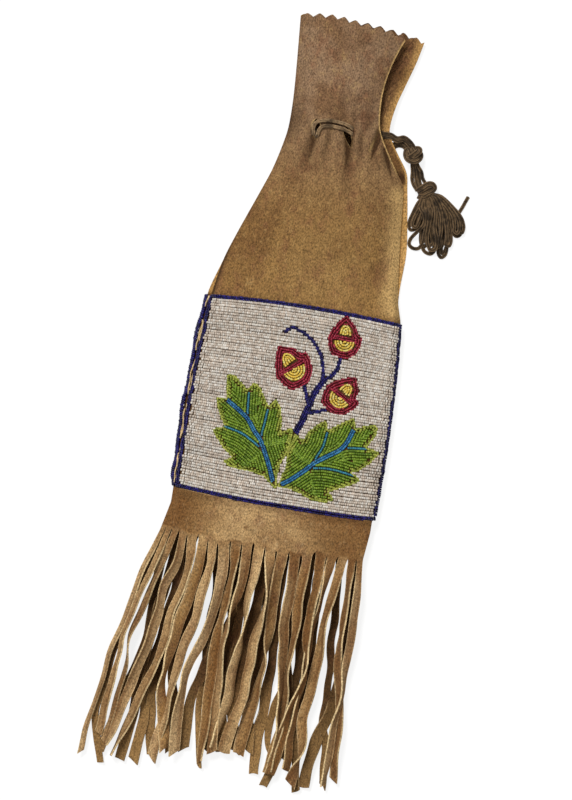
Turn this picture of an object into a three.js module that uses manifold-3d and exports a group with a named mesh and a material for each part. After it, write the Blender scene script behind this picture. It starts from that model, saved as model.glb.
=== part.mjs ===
// Beaded hide pipe bag, laid flat on its back.
// Two hides are sewn along their sides. Each face carries a beaded panel, a cut hide fringe is lapped
// over each face's lower end, and a drawstring runs through slits round the neck and ends in a hank.
// Millimetres. +X is the bag's right, +Y runs up to the mouth and +Z rises from the rest plane.
// The origin is the centre of the back panel's beadwork, on the rest plane.
import * as THREE from "three";
import { mergeVertices } from "three/addons/utils/BufferGeometryUtils.js";
import Module from "manifold-3d";

const wasm = await Module();
wasm.setup();

// Materials and fits
const HIDE = 1.5; // thickness of the bag's hide
const FRINGE_HIDE = 1.3; // thickness of the fringe's hide
const BEAD = 1.7; // height and width of a row of seed beads
const CORD = 2.4; // diameter of the drawstring
const GAP = 0.3; // clearance between pieces that touch

// Beaded panels
const PANEL_WIDTH = 144.4; // across the upper edge
const PANEL_HEIGHT = 145; // along the sides
const PANEL_BELLY = 0.06; // share of its width that the panel gains where it is fullest
const PANEL_FULLEST = -0.39; // that place, as a share of half the height
const PANEL_ARCH = 0.045; // share of its height that the panel gains along its middle
const PANEL_ROLL = 6; // width of the rolled-down sides of the front panel
const BORDER = 2.6; // width of the dark border
const LANE = 10; // pitch of the ground's ridges, five rows of beads each
const GROOVE = 1; // width of the groove between ridges
const GROOVE_DEPTH = 0.7;
const BACK_OVERHANG = 3; // the back hide shows this far past the front one on the left
const OVERHANG_LENGTH = 30; // and comes back to it this far above the panel

// Heights above the panel's upper corners
const SEAM_RISE = 110; // the right side is open above its seam
const NECK_RISE = 137; // line of the drawstring
const MOUTH_RISE = 221; // highest point of the mouth
const WAIST_RISE = 67; // where the pouch is roomy

// Edges of the hides: [share of the rise to the mouth, share of half the panel's width]
const LEFT_EDGE = [
  [0, 1], [0.124, 0.932], [0.215, 0.842], [0.378, 0.658], [0.459, 0.571], [0.568, 0.492], [0.622, 0.474],
  [0.731, 0.478], [1, 0.535],
];
const RIGHT_EDGE = [
  [0, 1], [0.079, 0.932], [0.192, 0.886], [0.351, 0.838], [0.496, 0.794], [0.57, 0.682], [0.615, 0.563],
  [0.65, 0.478], [0.722, 0.436], [0.803, 0.45], [0.895, 0.517], [1, 0.645],
];
const BACK_RIGHT_EDGE = [
  [0, 1], [0.079, 0.936], [0.242, 0.942], [0.351, 0.9], [0.459, 0.848], [0.514, 0.806], [0.57, 0.69],
  [0.615, 0.608], [0.65, 0.568], [0.731, 0.598], [0.812, 0.668], [0.894, 0.741], [1, 0.81],
];

// Room between the two hides
const PANEL_ROOM = 7;
const WAIST_ROOM = 12;
const NECK_ROOM = 14;
const MOUTH_ROOM = 15;
const LIP_SHARE = 0.45; // share of that room at the open right edge
const ARCH_POWER = 3; // roundness of the front hide above the panel
const ARCH_LENGTH = 40; // length over which the flat panel turns into that arch

// Gathers, slits and pinked mouth
const GATHERS = 5;
const GATHER_DEPTH = 1.5;
const GATHER_REACH = 72; // the gathers die out this far from the neck
const BACK_REACH = 40; // the back hide is raised this far on both sides of the neck
const TOOTH_PITCH = 10;
const TOOTH_DEPTH = 3.2;
const MOUTH_CREST = -10; // the mouth is highest here
const MOUTH_RADIUS = 310; // radius of its arch
const SLIT_LEFT = -17; // the two slits on the front
const SLIT_RIGHT = 12;
const SLIT_BACK = -22; // the slit through the back hide
const SLIT_WIDTH = 8.4;
const SLIT_HEIGHT = 11;

// Fringe
const LAP = 10; // the hides reach this far below the panel, under the fringe
const SKIRT = 32; // uncut band of the fringe below the panel
const SKIRT_SHIFT = 2; // the fringe's ends stand this far to the left at the panel
const SKIRT_LEAN = 6.5; // and this far where its strips begin
const STRIPS = 19;
const STRIP_LENGTH = 168; // below the skirt
const STRIP_WIDTH = 6.8;
const STRIP_UNEVEN = 10; // the ends differ by this much either way
const STRIP_TAPER = 0.15; // share of the width lost towards the end
const STRIP_SWAY = 1.2;
const SWAY_WAVE = 5; // radians of sway along a strip
const SWAY_SHIFT = 2; // radians between the two layers
const SWAY_UNEVEN = 0.6;
const LEAN_LEFT = -34; // drift of the ends at the left and right edges
const LEAN_RIGHT = 8;
const LEAN_POWER = 0.8;
const STRIP_TWIST = 0.55; // radians
const STRIP_STEPS = 5;
const LAYER_STEP = 5; // height from the back layer to the front layer
const SLANT = 2.2; // slope of the cut ends

// Drawstring
const TURN_DISTANCE = 1.6; // the two turns run side by side, this far from the neck line
const LEAD_SPREAD = 1.3; // the strands spread this much more just before the knot
const KNOT_OUT = 18.5; // from the back hide's edge at the neck to the upper knot
const KNOT_DROP = 12; // and down from the neck line
const LINK_STEP = [11, -22]; // from the upper knot to the lower one
const KNOT_RADIUS = 5.6;
const KNOT_LENGTH = 11;
const LINK_RADIUS = 3.2;
const HANK_THICKNESS = 11;
const HANK_STEP = [20, -49.5]; // from the lower knot to the hank's far end
const LOOSE_STEP = [34, -0.5]; // from the lower knot to the loose end's tip
const HANK_HALF_WIDTHS = [[0, 5], [0.22, 12], [0.5, 18], [0.75, 18.5], [0.93, 13], [1, 5]]; // [share, half]

const PANEL_HALF = PANEL_WIDTH / 2;
const PANEL_TOP = PANEL_HEIGHT / 2;
const PANEL_BOTTOM = -PANEL_HEIGHT / 2;
const PANEL_REACH = PANEL_TOP * (1 + PANEL_ARCH); // upper and lower reach of its middle
const HIDE_BOTTOM = -PANEL_REACH - LAP;
const SKIRT_BOTTOM = -PANEL_REACH - SKIRT;
const WAIST = PANEL_TOP + WAIST_RISE;
const SEAM_TOP = PANEL_TOP + SEAM_RISE;
const NECK = PANEL_TOP + NECK_RISE;
const MOUTH = PANEL_TOP + MOUTH_RISE;
const ROLL_SHARE = PANEL_ROLL / PANEL_HALF;
const GROUND_HALF = PANEL_HALF - BORDER;
const FLAT_HALF = PANEL_HALF - PANEL_ROLL;
const CORD_RADIUS = CORD / 2;
const BACK_LIFT = BEAD + GAP; // the back hide lies on the back beadwork
const NECK_LIFT = CORD + 4 * GAP; // and on the drawstring under the neck

const { clamp, lerp, smoothstep } = THREE.MathUtils;

// Small helpers for numbers and curves

// A bump of height 1 that falls smoothly to nothing at distance 1.
function bump(distance) {
  const inside = Math.max(0, 1 - distance * distance);
  return inside * inside;
}

// A repeatable uneven number between -1 and 1 for strip number i.
function uneven(i, kind) {
  const wave = Math.sin(i * 12.9898 + kind * 78.233) * 43758.5453;
  return 2 * (wave - Math.floor(wave)) - 1;
}

// Evenly spaced numbers from start to end.
function steps(start, end, count) {
  return Array.from({ length: count + 1 }, (_, i) => lerp(start, end, i / count));
}

// A smooth curve through [along, across] stations, read as across at a given along.
function curveThrough(stations) {
  const slope = (i) => {
    const before = stations[Math.max(i - 1, 0)];
    const after = stations[Math.min(i + 1, stations.length - 1)];
    return (after[1] - before[1]) / (after[0] - before[0]);
  };
  return (along) => {
    const i = stations.slice(1, -1).filter(([at]) => at <= along).length;
    const [start, from] = stations[i];
    const [end, to] = stations[i + 1];
    const run = end - start;
    const t = (along - start) / run;
    const ease = t * t * (3 - 2 * t);
    const bend = t * (1 - t) * run * (slope(i) * (1 - t) - slope(i + 1) * t);
    return lerp(from, to, ease) + bend;
  };
}

// Form of the bag: its edges and the heights of its two hides

// Widening of the panel below its upper corners.
function flare(y) {
  const off = (clamp(y / PANEL_TOP, -1, 1) - PANEL_FULLEST) / (1 - PANEL_FULLEST);
  return 1 + PANEL_BELLY * (1 - off * off);
}

// Height of a point of the front beadwork, whose rows arch away from the middle one.
function bowed(x, y) {
  const share = x / PANEL_HALF;
  return y * (1 + PANEL_ARCH * (1 - share * share));
}

const edge = (stations) =>
  curveThrough(stations.map(([rise, half]) => [PANEL_TOP + rise * MOUTH_RISE, half * PANEL_HALF]));
const upperLeft = edge(LEFT_EDGE);
const upperRight = edge(RIGHT_EDGE);
const upperBackRight = edge(BACK_RIGHT_EDGE);
const upperRoom = curveThrough([
  [PANEL_TOP, PANEL_ROOM],
  [PANEL_REACH, PANEL_ROOM],
  [WAIST, WAIST_ROOM],
  [NECK, NECK_ROOM],
  [MOUTH, MOUTH_ROOM],
]);

function frontLeft(y) {
  return y > PANEL_TOP ? -upperLeft(y) : -PANEL_HALF * flare(y);
}

function frontRight(y) {
  return y > PANEL_TOP ? upperRight(y) : PANEL_HALF * flare(y);
}

function backLeft(y) {
  return frontLeft(y) - BACK_OVERHANG * (1 - smoothstep(y, PANEL_TOP, PANEL_TOP + OVERHANG_LENGTH));
}

function backRight(y) {
  return y > PANEL_TOP ? upperBackRight(y) : PANEL_HALF * flare(y);
}

// Place across the front hide, from -1 at its left edge to 1 at its right edge.
function across(x, y) {
  const left = frontLeft(y);
  return clamp((2 * (x - left)) / (frontRight(y) - left) - 1, -1, 1);
}

// Height of the back hide's outer face.
function backUnder(y) {
  const onBeads = BACK_LIFT * (1 - smoothstep(y, PANEL_REACH, PANEL_REACH + ARCH_LENGTH));
  return onBeads + NECK_LIFT * bump((y - NECK) / BACK_REACH);
}

// Height of the front hide's inner face: flat with rolled sides at the panel, arched above it.
function frontUnder(s, y) {
  const toMouth = y > PANEL_REACH ? upperRoom(y) : PANEL_ROOM;
  const room = toMouth * clamp((y - HIDE_BOTTOM) / LAP, 0, 1);
  const rolled = clamp((1 - Math.abs(s)) / ROLL_SHARE, 0, 1);
  const arched = 1 - Math.pow(Math.abs(s), ARCH_POWER);
  const closed = lerp(rolled, arched, smoothstep(y, PANEL_REACH, PANEL_REACH + ARCH_LENGTH));
  const open = LIP_SHARE * smoothstep(y, SEAM_TOP, NECK) * Math.max(s, 0);
  const folds = Math.cos(Math.PI * GATHERS * s) * (1 - s * s) * bump((y - NECK) / GATHER_REACH);
  return backUnder(y) + HIDE + GAP + room * lerp(closed, 1, open) + GATHER_DEPTH * folds;
}

function frontOver(s, y) {
  return frontUnder(s, y) + HIDE;
}

// Makers of closed geometry

// The closed solid between two surfaces on a grid; place(u, v, side) is a corner, side 0 below, 1 above.
function sheet(us, vs, place) {
  const corners = [0, 1].flatMap((side) => vs.flatMap((v) => us.flatMap((u) => place(u, v, side))));
  const at = (i, j, side) => (side * vs.length + j) * us.length + i;
  const faces = [];
  const quad = (a, b, c, d) => faces.push(a, b, c, a, c, d);
  const m = us.length - 1;
  const n = vs.length - 1;
  for (let j = 0; j < n; j += 1) {
    for (let i = 0; i < m; i += 1) {
      quad(at(i, j, 1), at(i + 1, j, 1), at(i + 1, j + 1, 1), at(i, j + 1, 1));
      quad(at(i, j, 0), at(i, j + 1, 0), at(i + 1, j + 1, 0), at(i + 1, j, 0));
    }
    quad(at(0, j + 1, 0), at(0, j, 0), at(0, j, 1), at(0, j + 1, 1));
    quad(at(m, j, 0), at(m, j + 1, 0), at(m, j + 1, 1), at(m, j, 1));
  }
  for (let i = 0; i < m; i += 1) {
    quad(at(i, 0, 0), at(i + 1, 0, 0), at(i + 1, 0, 1), at(i, 0, 1));
    quad(at(i + 1, n, 0), at(i, n, 0), at(i, n, 1), at(i + 1, n, 1));
  }
  const geometry = new THREE.BufferGeometry();
  geometry.setAttribute("position", new THREE.Float32BufferAttribute(corners, 3));
  geometry.setIndex(faces);
  return geometry;
}

// A flat outline raised from one height to another.
function prism(points, bottom, top) {
  const geometry = new THREE.ExtrudeGeometry(new THREE.Shape(points), {
    depth: top - bottom,
    bevelEnabled: false,
  });
  return geometry.translate(0, 0, bottom);
}

// A round cord along a smooth curve through the given points.
function tube(points, radius, count) {
  const section = new THREE.Shape();
  section.absarc(0, 0, radius, 0, 2 * Math.PI);
  return new THREE.ExtrudeGeometry(section, {
    steps: count,
    curveSegments: 4,
    extrudePath: new THREE.CatmullRomCurve3(points.map((point) => new THREE.Vector3(...point))),
  });
}

function solid(geometry) {
  const bare = new THREE.BufferGeometry();
  bare.setAttribute("position", geometry.getAttribute("position"));
  bare.setIndex(geometry.getIndex());
  const merged = mergeVertices(bare, 1e-4);
  const mesh = new wasm.Mesh({
    numProp: 3,
    vertProperties: new Float32Array(merged.getAttribute("position").array),
    triVerts: new Uint32Array(merged.getIndex().array),
  });
  return new wasm.Manifold(mesh);
}

function geometryOf(body) {
  const { vertProperties, triVerts } = body.getMesh();
  const geometry = new THREE.BufferGeometry();
  geometry.setAttribute("position", new THREE.Float32BufferAttribute(vertProperties, 3));
  geometry.setIndex(Array.from(triVerts));
  return geometry;
}

function cut(geometry, ...tools) {
  return geometryOf(tools.reduce((body, tool) => body.subtract(solid(tool)), solid(geometry)));
}

function join(first, ...others) {
  return geometryOf(others.reduce((body, other) => body.add(solid(other)), solid(first)));
}

// Outlines of the beadwork, in the panel's own plane

// Points given as shares of the panel's half width and half height, as points of the flat panel.
function design(points) {
  return points.map(([x, y]) => new THREE.Vector2(x * PANEL_HALF, y * PANEL_TOP));
}

// A closed outline of a line of beads along a smooth curve, tapering from one width to another.
function ribbon(points, startWidth, endWidth) {
  const curve = new THREE.SplineCurve(design(points));
  const count = points.length + 1;
  const side = (sign) => steps(0, 1, count).map((t) => {
    const along = curve.getTangent(t);
    const half = (sign * lerp(startWidth, endWidth, t)) / 2;
    return curve.getPoint(t).add(new THREE.Vector2(along.y * half, -along.x * half));
  });
  return [...side(1), ...side(-1).reverse()];
}

// The same outline moved outwards all round.
function grown(points, by) {
  return points.map((point, i) => {
    const before = points[(i + points.length - 1) % points.length];
    const after = points[(i + 1) % points.length];
    const along = point.clone().sub(before).normalize().add(after.clone().sub(point).normalize()).normalize();
    return point.clone().add(new THREE.Vector2(along.y * by, -along.x * by));
  });
}

// The same outline on the panel as it lies.
function flared(points) {
  return points.map(({ x, y }) => new THREE.Vector2(x * flare(y), bowed(x, y)));
}

const LEFT_LEAF = [
  [-0.021, -0.842], [-0.039, -0.715], [-0.026, -0.601], [0.004, -0.495], [0.037, -0.403],
  [0.044, -0.256], [0.022, -0.222], [-0.051, -0.277], [-0.059, -0.172], [-0.092, -0.04],
  [-0.158, 0.044], [-0.21, -0.04], [-0.248, 0.011], [-0.323, 0.126], [-0.392, 0.173], [-0.454, 0.085],
  [-0.487, 0.127], [-0.57, 0.194], [-0.638, 0.22], [-0.673, 0.195], [-0.659, 0.094], [-0.641, -0.032],
  [-0.74, -0.032], [-0.714, -0.126], [-0.672, -0.226], [-0.614, -0.315], [-0.68, -0.339],
  [-0.729, -0.362], [-0.687, -0.428], [-0.597, -0.527], [-0.5, -0.599], [-0.585, -0.651],
  [-0.518, -0.692], [-0.402, -0.712], [-0.271, -0.71], [-0.157, -0.733], [-0.075, -0.799],
];
const RIGHT_LEAF = [
  [-0.001, -0.809], [0.105, -0.815], [0.171, -0.825], [0.252, -0.85], [0.336, -0.882], [0.483, -0.887],
  [0.562, -0.859], [0.538, -0.802], [0.499, -0.782], [0.597, -0.736], [0.71, -0.689], [0.792, -0.634],
  [0.742, -0.589], [0.693, -0.571], [0.758, -0.548], [0.856, -0.466], [0.941, -0.342], [0.889, -0.322],
  [0.799, -0.307], [0.873, -0.177], [0.883, -0.093], [0.851, -0.067], [0.76, -0.083], [0.661, -0.133],
  [0.658, -0.09], [0.63, -0.024], [0.564, -0.066], [0.465, -0.132], [0.399, -0.19], [0.386, -0.139],
  [0.359, -0.093], [0.284, -0.147], [0.203, -0.238], [0.17, -0.32], [0.137, -0.304], [0.088, -0.271],
  [0.059, -0.37], [0.047, -0.469], [0.047, -0.601], [0.022, -0.7],
];

const VEIN = 2 * BEAD;
const VEIN_TIP = 1.5 * BEAD;
const LEFT_VEINS = [
  [
    [-0.059, -0.766], [-0.107, -0.65], [-0.173, -0.518], [-0.247, -0.386], [-0.32, -0.305],
    [-0.394, -0.206], [-0.459, -0.156], [-0.616, -0.056],
  ],
  [[-0.394, -0.206], [-0.411, -0.122], [-0.426, 0.035]],
  [[-0.216, -0.452], [-0.238, -0.337], [-0.23, -0.238], [-0.219, -0.106]],
  [[-0.203, -0.483], [-0.32, -0.412], [-0.434, -0.355], [-0.582, -0.321]],
];
const RIGHT_VEINS = [
  [
    [0.026, -0.777], [0.105, -0.725], [0.236, -0.61], [0.316, -0.529], [0.431, -0.447],
    [0.545, -0.366], [0.603, -0.275], [0.641, -0.161],
  ],
  [[0.545, -0.366], [0.627, -0.338], [0.766, -0.325]],
  [[0.284, -0.563], [0.333, -0.454], [0.374, -0.355], [0.391, -0.235]],
  [[0.288, -0.583], [0.415, -0.566], [0.545, -0.57], [0.685, -0.591]],
];

const STEM_ROOT = [
  [0.084, -0.271], [0.137, -0.127], [0.171, 0], [0.21, 0.149], [0.258, 0.245], [0.292, 0.305],
];
const TENDRIL = [
  [0.276, 0.291], [0.255, 0.426], [0.22, 0.534], [0.166, 0.605], [0.092, 0.677], [0.007, 0.725],
  [-0.116, 0.755], [-0.179, 0.707],
];
const UPPER_STALK = [[0.278, 0.271], [0.375, 0.378], [0.408, 0.452], [0.415, 0.558]];
const LEFT_STALK = [[0.171, 0.04], [0.125, 0.137], [0.096, 0.221]];
const RIGHT_STALK = [[0.164, -0.053], [0.269, -0.025], [0.354, 0.011]];
const STEM = [
  { points: STEM_ROOT, from: 3.3 * BEAD, to: 3 * BEAD },
  { points: TENDRIL, from: 2 * BEAD, to: 1.8 * BEAD },
  { points: UPPER_STALK, from: 2 * BEAD, to: 1.8 * BEAD },
  { points: LEFT_STALK, from: 1.6 * BEAD, to: 1.4 * BEAD },
  { points: RIGHT_STALK, from: 1.6 * BEAD, to: 1.5 * BEAD },
];

const ACORN_REACH = 0.216 * Math.min(PANEL_HALF, PANEL_TOP); // from an acorn's middle to its tip
const ACORNS = [
  { name: "upper", centre: [0.435, 0.754], turn: 0, size: 0.98 },
  { name: "left", centre: [-0.043, 0.372], turn: 40, size: 1.08 },
  { name: "right", centre: [0.474, 0.178], turn: -30, size: 0.97 },
];

// Outlines in shares of an acorn's reach.
const ACORN_OUTLINE = [
  [-0.04, 1], [-0.22, 0.83], [-0.45, 0.56], [-0.68, 0.19], [-0.8, -0.13], [-0.71, -0.6], [-0.51, -0.92],
  [-0.16, -0.99], [0.25, -0.98], [0.6, -0.72], [0.8, -0.25], [0.82, 0.16], [0.6, 0.19], [0.46, 0.56],
  [0.19, 0.8],
].map(([x, y]) => new THREE.Vector2(x, y));
const NUT = { base: 0.02, half: 0.3, rise: 0.54 };
const CUP = { base: -0.2, half: 0.5, rise: -0.52 };

// An outline in an acorn's own axes, turned and moved to its place on the panel.
function placed(points, { centre, turn, size }) {
  const axis = new THREE.Vector2();
  const [middle] = design([centre]);
  const angle = THREE.MathUtils.degToRad(turn);
  const reach = ACORN_REACH * size;
  return points.map((point) => point.clone().multiplyScalar(reach).rotateAround(axis, angle).add(middle));
}

// Half an ellipse standing on its straight base, or hanging from it where the rise is negative.
function halfRound({ base, half, rise }) {
  const outline = new THREE.Path();
  outline.absellipse(0, base, half, Math.abs(rise), rise > 0 ? 0 : Math.PI, rise > 0 ? Math.PI : 2 * Math.PI);
  return outline.getPoints(5);
}

// Hides

// A hide between its left and right edges, its lower and upper faces given by two height functions.
function hide(columns, rows, left, right, under) {
  return sheet(columns, rows, (s, y, side) => [
    lerp(left(y), right(y), (s + 1) / 2),
    y,
    under(s, y) + side * HIDE,
  ]);
}

const TALL = 60; // cutting tools reach through every layer
const SPARE = 1.5; // hide beyond the mouth line that the pinking takes off
const PANEL_ROWS = [HIDE_BOTTOM, -PANEL_REACH, ...steps(PANEL_BOTTOM, PANEL_TOP, 4), PANEL_REACH];
const UPPER_ROWS = [
  ...steps(PANEL_REACH, SEAM_TOP, 5).slice(1),
  ...steps(SEAM_TOP, NECK, 3).slice(1),
  ...steps(NECK, MOUTH + SPARE, 4).slice(1),
];
const HIDE_ROWS = [...PANEL_ROWS, ...UPPER_ROWS];

// Everything above a saw-toothed, gently arched line across the mouth.
function pinking(left, right) {
  const count = Math.round((right - left) / TOOTH_PITCH);
  const line = (x) => MOUTH - (x - MOUTH_CREST) ** 2 / (2 * MOUTH_RADIUS);
  const teeth = steps(left, right, 2 * count).map((x, i) => [x, line(x) - (i % 2 ? 0 : TOOTH_DEPTH)]);
  const above = MOUTH + 2 * TOOTH_DEPTH;
  const farLeft = left - TOOTH_PITCH;
  const farRight = right + TOOTH_PITCH;
  const ends = [[farRight, line(farRight)], [farRight, above], [farLeft, above], [farLeft, line(farLeft)]];
  return prism([...teeth, ...ends].map(([x, y]) => new THREE.Vector2(x, y)), -TALL, TALL);
}

// A slit held open by the cord.
function slit(x) {
  const outline = new THREE.Path();
  outline.absellipse(x, NECK, SLIT_WIDTH / 2, SLIT_HEIGHT / 2, 0, 2 * Math.PI);
  return outline.getPoints(12).slice(0, -1);
}

function frontHide() {
  const flat = 1 - ROLL_SHARE;
  const columns = [-1, ...steps(-flat, flat, 20), 1];
  const wall = hide(columns, HIDE_ROWS, frontLeft, frontRight, frontUnder);
  const slits = [SLIT_LEFT, SLIT_RIGHT].map((x) => prism(slit(x), NECK_LIFT + HIDE + GAP, TALL));
  return cut(wall, pinking(frontLeft(MOUTH), frontRight(MOUTH)), ...slits);
}

function backHide() {
  const wall = hide(steps(-1, 1, 4), HIDE_ROWS, backLeft, backRight, (s, y) => backUnder(y));
  return cut(wall, pinking(backLeft(MOUTH), backRight(MOUTH)), prism(slit(SLIT_BACK), -TALL, TALL));
}

// Beadwork

const PANEL_BASE = frontOver(0, 0) + GAP;
const GROUND_TOP = PANEL_TOP - BORDER;
const GROUND_BOTTOM = PANEL_BOTTOM + BORDER;

// Heights along the ground: a flat ridge for each lane and a groove between lanes.
function laneProfile() {
  const count = 2 * Math.floor((GROUND_TOP - GROUND_BOTTOM) / (2 * LANE)) + 1;
  const pitch = (GROUND_TOP - GROUND_BOTTOM) / count;
  const ridge = (i) => {
    const start = GROUND_BOTTOM + i * pitch;
    const end = start + pitch;
    return [[start + GROOVE / 2, BEAD], [end - GROOVE / 2, BEAD], [end, BEAD - GROOVE_DEPTH]];
  };
  const ridges = Array.from({ length: count }, (_, i) => ridge(i)).flat();
  return [[GROUND_BOTTOM, BEAD - GROOVE_DEPTH], ...ridges];
}

// A patch of beads on the front hide, following the rolled sides of the panel.
function frontPatch(columns, profile) {
  return sheet(columns, profile, (x, [y, height], side) => [
    x * flare(y),
    bowed(x, y),
    frontOver(x / PANEL_HALF, y) + GAP + side * height,
  ]);
}

// A patch of beads under the back hide, its ridges facing down.
function backPatch(left, right, profile) {
  return sheet([left, right], profile, (x, [y, height], side) => [
    x * flare(y) - BACK_OVERHANG * (x < 0 ? 1 : 0),
    y,
    side ? BEAD : BEAD - height,
  ]);
}

const acornShapes = ACORNS.map((acorn) => ({
  name: acorn.name,
  shell: flared(placed(ACORN_OUTLINE, acorn)),
  nut: flared(placed(halfRound(NUT), acorn)),
  cup: flared(placed(halfRound(CUP), acorn)),
}));
const leafShapes = [
  { name: "left", leaf: flared(design(LEFT_LEAF)), veins: LEFT_VEINS },
  { name: "right", leaf: flared(design(RIGHT_LEAF)), veins: RIGHT_VEINS },
].map(({ name, leaf, veins }) => ({
  name,
  leaf,
  veins: veins.map((points, i) => flared(ribbon(points, i ? VEIN_TIP : VEIN, VEIN_TIP))),
}));
const stemShapes = STEM.map(({ points, from, to }) => flared(ribbon(points, from, to)));

const MIDDLE_COLUMNS = [-FLAT_HALF, -FLAT_HALF / 2, FLAT_HALF / 2, FLAT_HALF];
const beads = (points) => prism(points, PANEL_BASE, PANEL_BASE + BEAD);
const pocket = (points) => prism(grown(points, GAP), PANEL_BASE - TALL, PANEL_BASE + TALL);

function frontGround() {
  const columns = [-GROUND_HALF, ...MIDDLE_COLUMNS, GROUND_HALF];
  const motifs = [
    ...leafShapes.map(({ leaf }) => leaf),
    ...stemShapes,
    ...acornShapes.map(({ shell }) => shell),
  ];
  return cut(frontPatch(columns, laneProfile()), ...motifs.map(pocket));
}

function leaf(shapes) {
  return cut(beads(shapes.leaf), ...shapes.veins.map(pocket));
}

function veins(shapes) {
  return join(...shapes.veins.map(beads));
}

function stem() {
  const around = [...leafShapes.map((shapes) => shapes.leaf), ...acornShapes.map(({ shell }) => shell)];
  return cut(join(...stemShapes.map(beads)), ...around.map(pocket));
}

function acornShell({ shell, nut, cup }) {
  return cut(beads(shell), pocket(nut), pocket(cup));
}

// Border lanes: one along each side of a panel.
const acrossLane = (from, to) => [[from, BEAD], [to, BEAD]];
const SIDE_STEPS = 8;
const sideProfile = steps(GROUND_BOTTOM + GAP, GROUND_TOP - GAP, SIDE_STEPS).map((y) => [y, BEAD]);
const fullColumns = [-PANEL_HALF, ...MIDDLE_COLUMNS, PANEL_HALF];
const topLane = acrossLane(GROUND_TOP + GAP, PANEL_TOP);
const bottomLane = acrossLane(PANEL_BOTTOM, GROUND_BOTTOM - GAP);

// The back panel's left border is rolled over the edge of the back hide, so it shows from the front.
function rolledEdge() {
  const rows = steps(PANEL_BOTTOM, PANEL_TOP, SIDE_STEPS);
  return sheet([GAP + BEAD, GAP], rows, (out, y, side) => [
    backLeft(y) - out,
    y,
    side * (BACK_LIFT + HIDE),
  ]);
}

// Fringe

// Place of a strip's middle line, from its root at v = 0 to its cut end at v = 1.
function stripLine(i, v, layer) {
  const pitch = (PANEL_WIDTH * flare(PANEL_BOTTOM)) / STRIPS;
  const root = (i + 0.5 - STRIPS / 2) * pitch - SKIRT_LEAN;
  const lean = lerp(LEAN_LEFT, LEAN_RIGHT, (i + 0.5) / STRIPS) * Math.pow(v, LEAN_POWER);
  const wave = Math.sin(SWAY_WAVE * v + SWAY_SHIFT * layer) + SWAY_UNEVEN * uneven(i, 3 + layer);
  const length = STRIP_LENGTH + STRIP_UNEVEN * uneven(i, 1 + layer);
  return [root + lean + STRIP_SWAY * wave * v, SKIRT_BOTTOM + 2 * GAP - length * v];
}

function strip(i, layer, height) {
  const rows = steps(1, 0, STRIP_STEPS);
  return sheet([-1, 1], rows, (u, v, side) => {
    const [x, y] = stripLine(i, v, layer);
    const twist = STRIP_TWIST * Math.sin(Math.PI * v) * uneven(i, 5 + layer);
    const half = (u * STRIP_WIDTH * (1 - STRIP_TAPER * v)) / 2;
    const thick = (side - 0.5) * (FRINGE_HIDE - GAP);
    const slant = v === 1 ? SLANT * u * uneven(i, 7 + layer) : 0;
    return [
      x + half * Math.cos(twist) - thick * Math.sin(twist),
      y + slant,
      height + half * Math.sin(twist) + thick * Math.cos(twist),
    ];
  });
}

// A fringe hide: an uncut skirt lapped over the bag's lower end, cut into strips below.
function fringe(layer, upperEdge, lapHeight, height) {
  const flat = 1 - ROLL_SHARE;
  const rows = [() => SKIRT_BOTTOM, () => HIDE_BOTTOM, () => -PANEL_REACH - 3 * GAP, upperEdge];
  const skirt = sheet([-1, -flat, -flat / 2, flat / 2, flat, 1], rows, (s, row, side) => {
    const y = row(s * PANEL_HALF);
    const down = clamp((HIDE_BOTTOM - y) / (HIDE_BOTTOM - SKIRT_BOTTOM), 0, 1);
    const shift = lerp(Math.abs(s) === 1 ? SKIRT_SHIFT : 0, SKIRT_LEAN, down);
    const x = s * PANEL_HALF * flare(y) - shift;
    const lap = lapHeight(across(x, y), y);
    return [x, y, lerp(lap, height - FRINGE_HIDE / 2, down) + side * FRINGE_HIDE];
  });
  const strips = Array.from({ length: STRIPS }, (_, i) => strip(i, layer, height));
  return join(skirt, ...strips);
}

const LOW_LAYER = BACK_LIFT + GAP; // middle height of the back layer of strips
const frontFringe = () =>
  fringe(
    1,
    (x) => bowed(x, PANEL_BOTTOM) - 2 * GAP,
    (s, y) => frontOver(s, y) + 2 * GAP,
    LOW_LAYER + LAYER_STEP,
  );
const backFringe = () => fringe(0, () => PANEL_BOTTOM - GAP, () => BACK_LIFT - GAP - FRINGE_HIDE, LOW_LAYER);

// Drawstring

const CLEAR = CORD_RADIUS + 2 * GAP; // from the cord's middle to a hide beside it
const over = (x) => frontOver(across(x, NECK), NECK) + CLEAR;
const inside = (x) => frontUnder(across(x, NECK), NECK) - CLEAR;
const RIGHT_EXIT = [frontRight(NECK) + 2 * CORD, NECK_LIFT + HIDE + GAP + CORD];
const UNDER_EXIT = [backRight(NECK) + CORD, CLEAR + GAP];

// One turn round the neck: in at the right, out and in at the front slits, and away under the back.
function turn(offset) {
  const y = NECK + offset;
  const dip = SLIT_WIDTH / 2;
  const [exitX, exitZ] = RIGHT_EXIT;
  const [underX, underZ] = UNDER_EXIT;
  const inRun = steps(frontRight(NECK) - 3 * CORD, SLIT_RIGHT + 0.85 * dip, 2).map((x) => [x, y, inside(x)]);
  const outRun = steps(SLIT_RIGHT - dip, SLIT_LEFT + dip, 5).map((x) => [x, y, over(x)]);
  const underRun = steps(SLIT_BACK + 0.7 * dip, underX, 3).map((x) => [x, y, underZ]);
  const route = [
    [exitX, y, exitZ],
    [exitX - 2 * CORD, y, exitZ],
    ...inRun,
    ...outRun,
    [SLIT_LEFT - dip / 2, y, inside(SLIT_LEFT)],
    [SLIT_BACK - dip / 2, y, (inside(SLIT_BACK) + NECK_LIFT + HIDE) / 2],
    [SLIT_BACK, y, NECK_LIFT + HIDE],
    ...underRun,
  ];
  return tube(route, CORD_RADIUS, 30);
}

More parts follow.
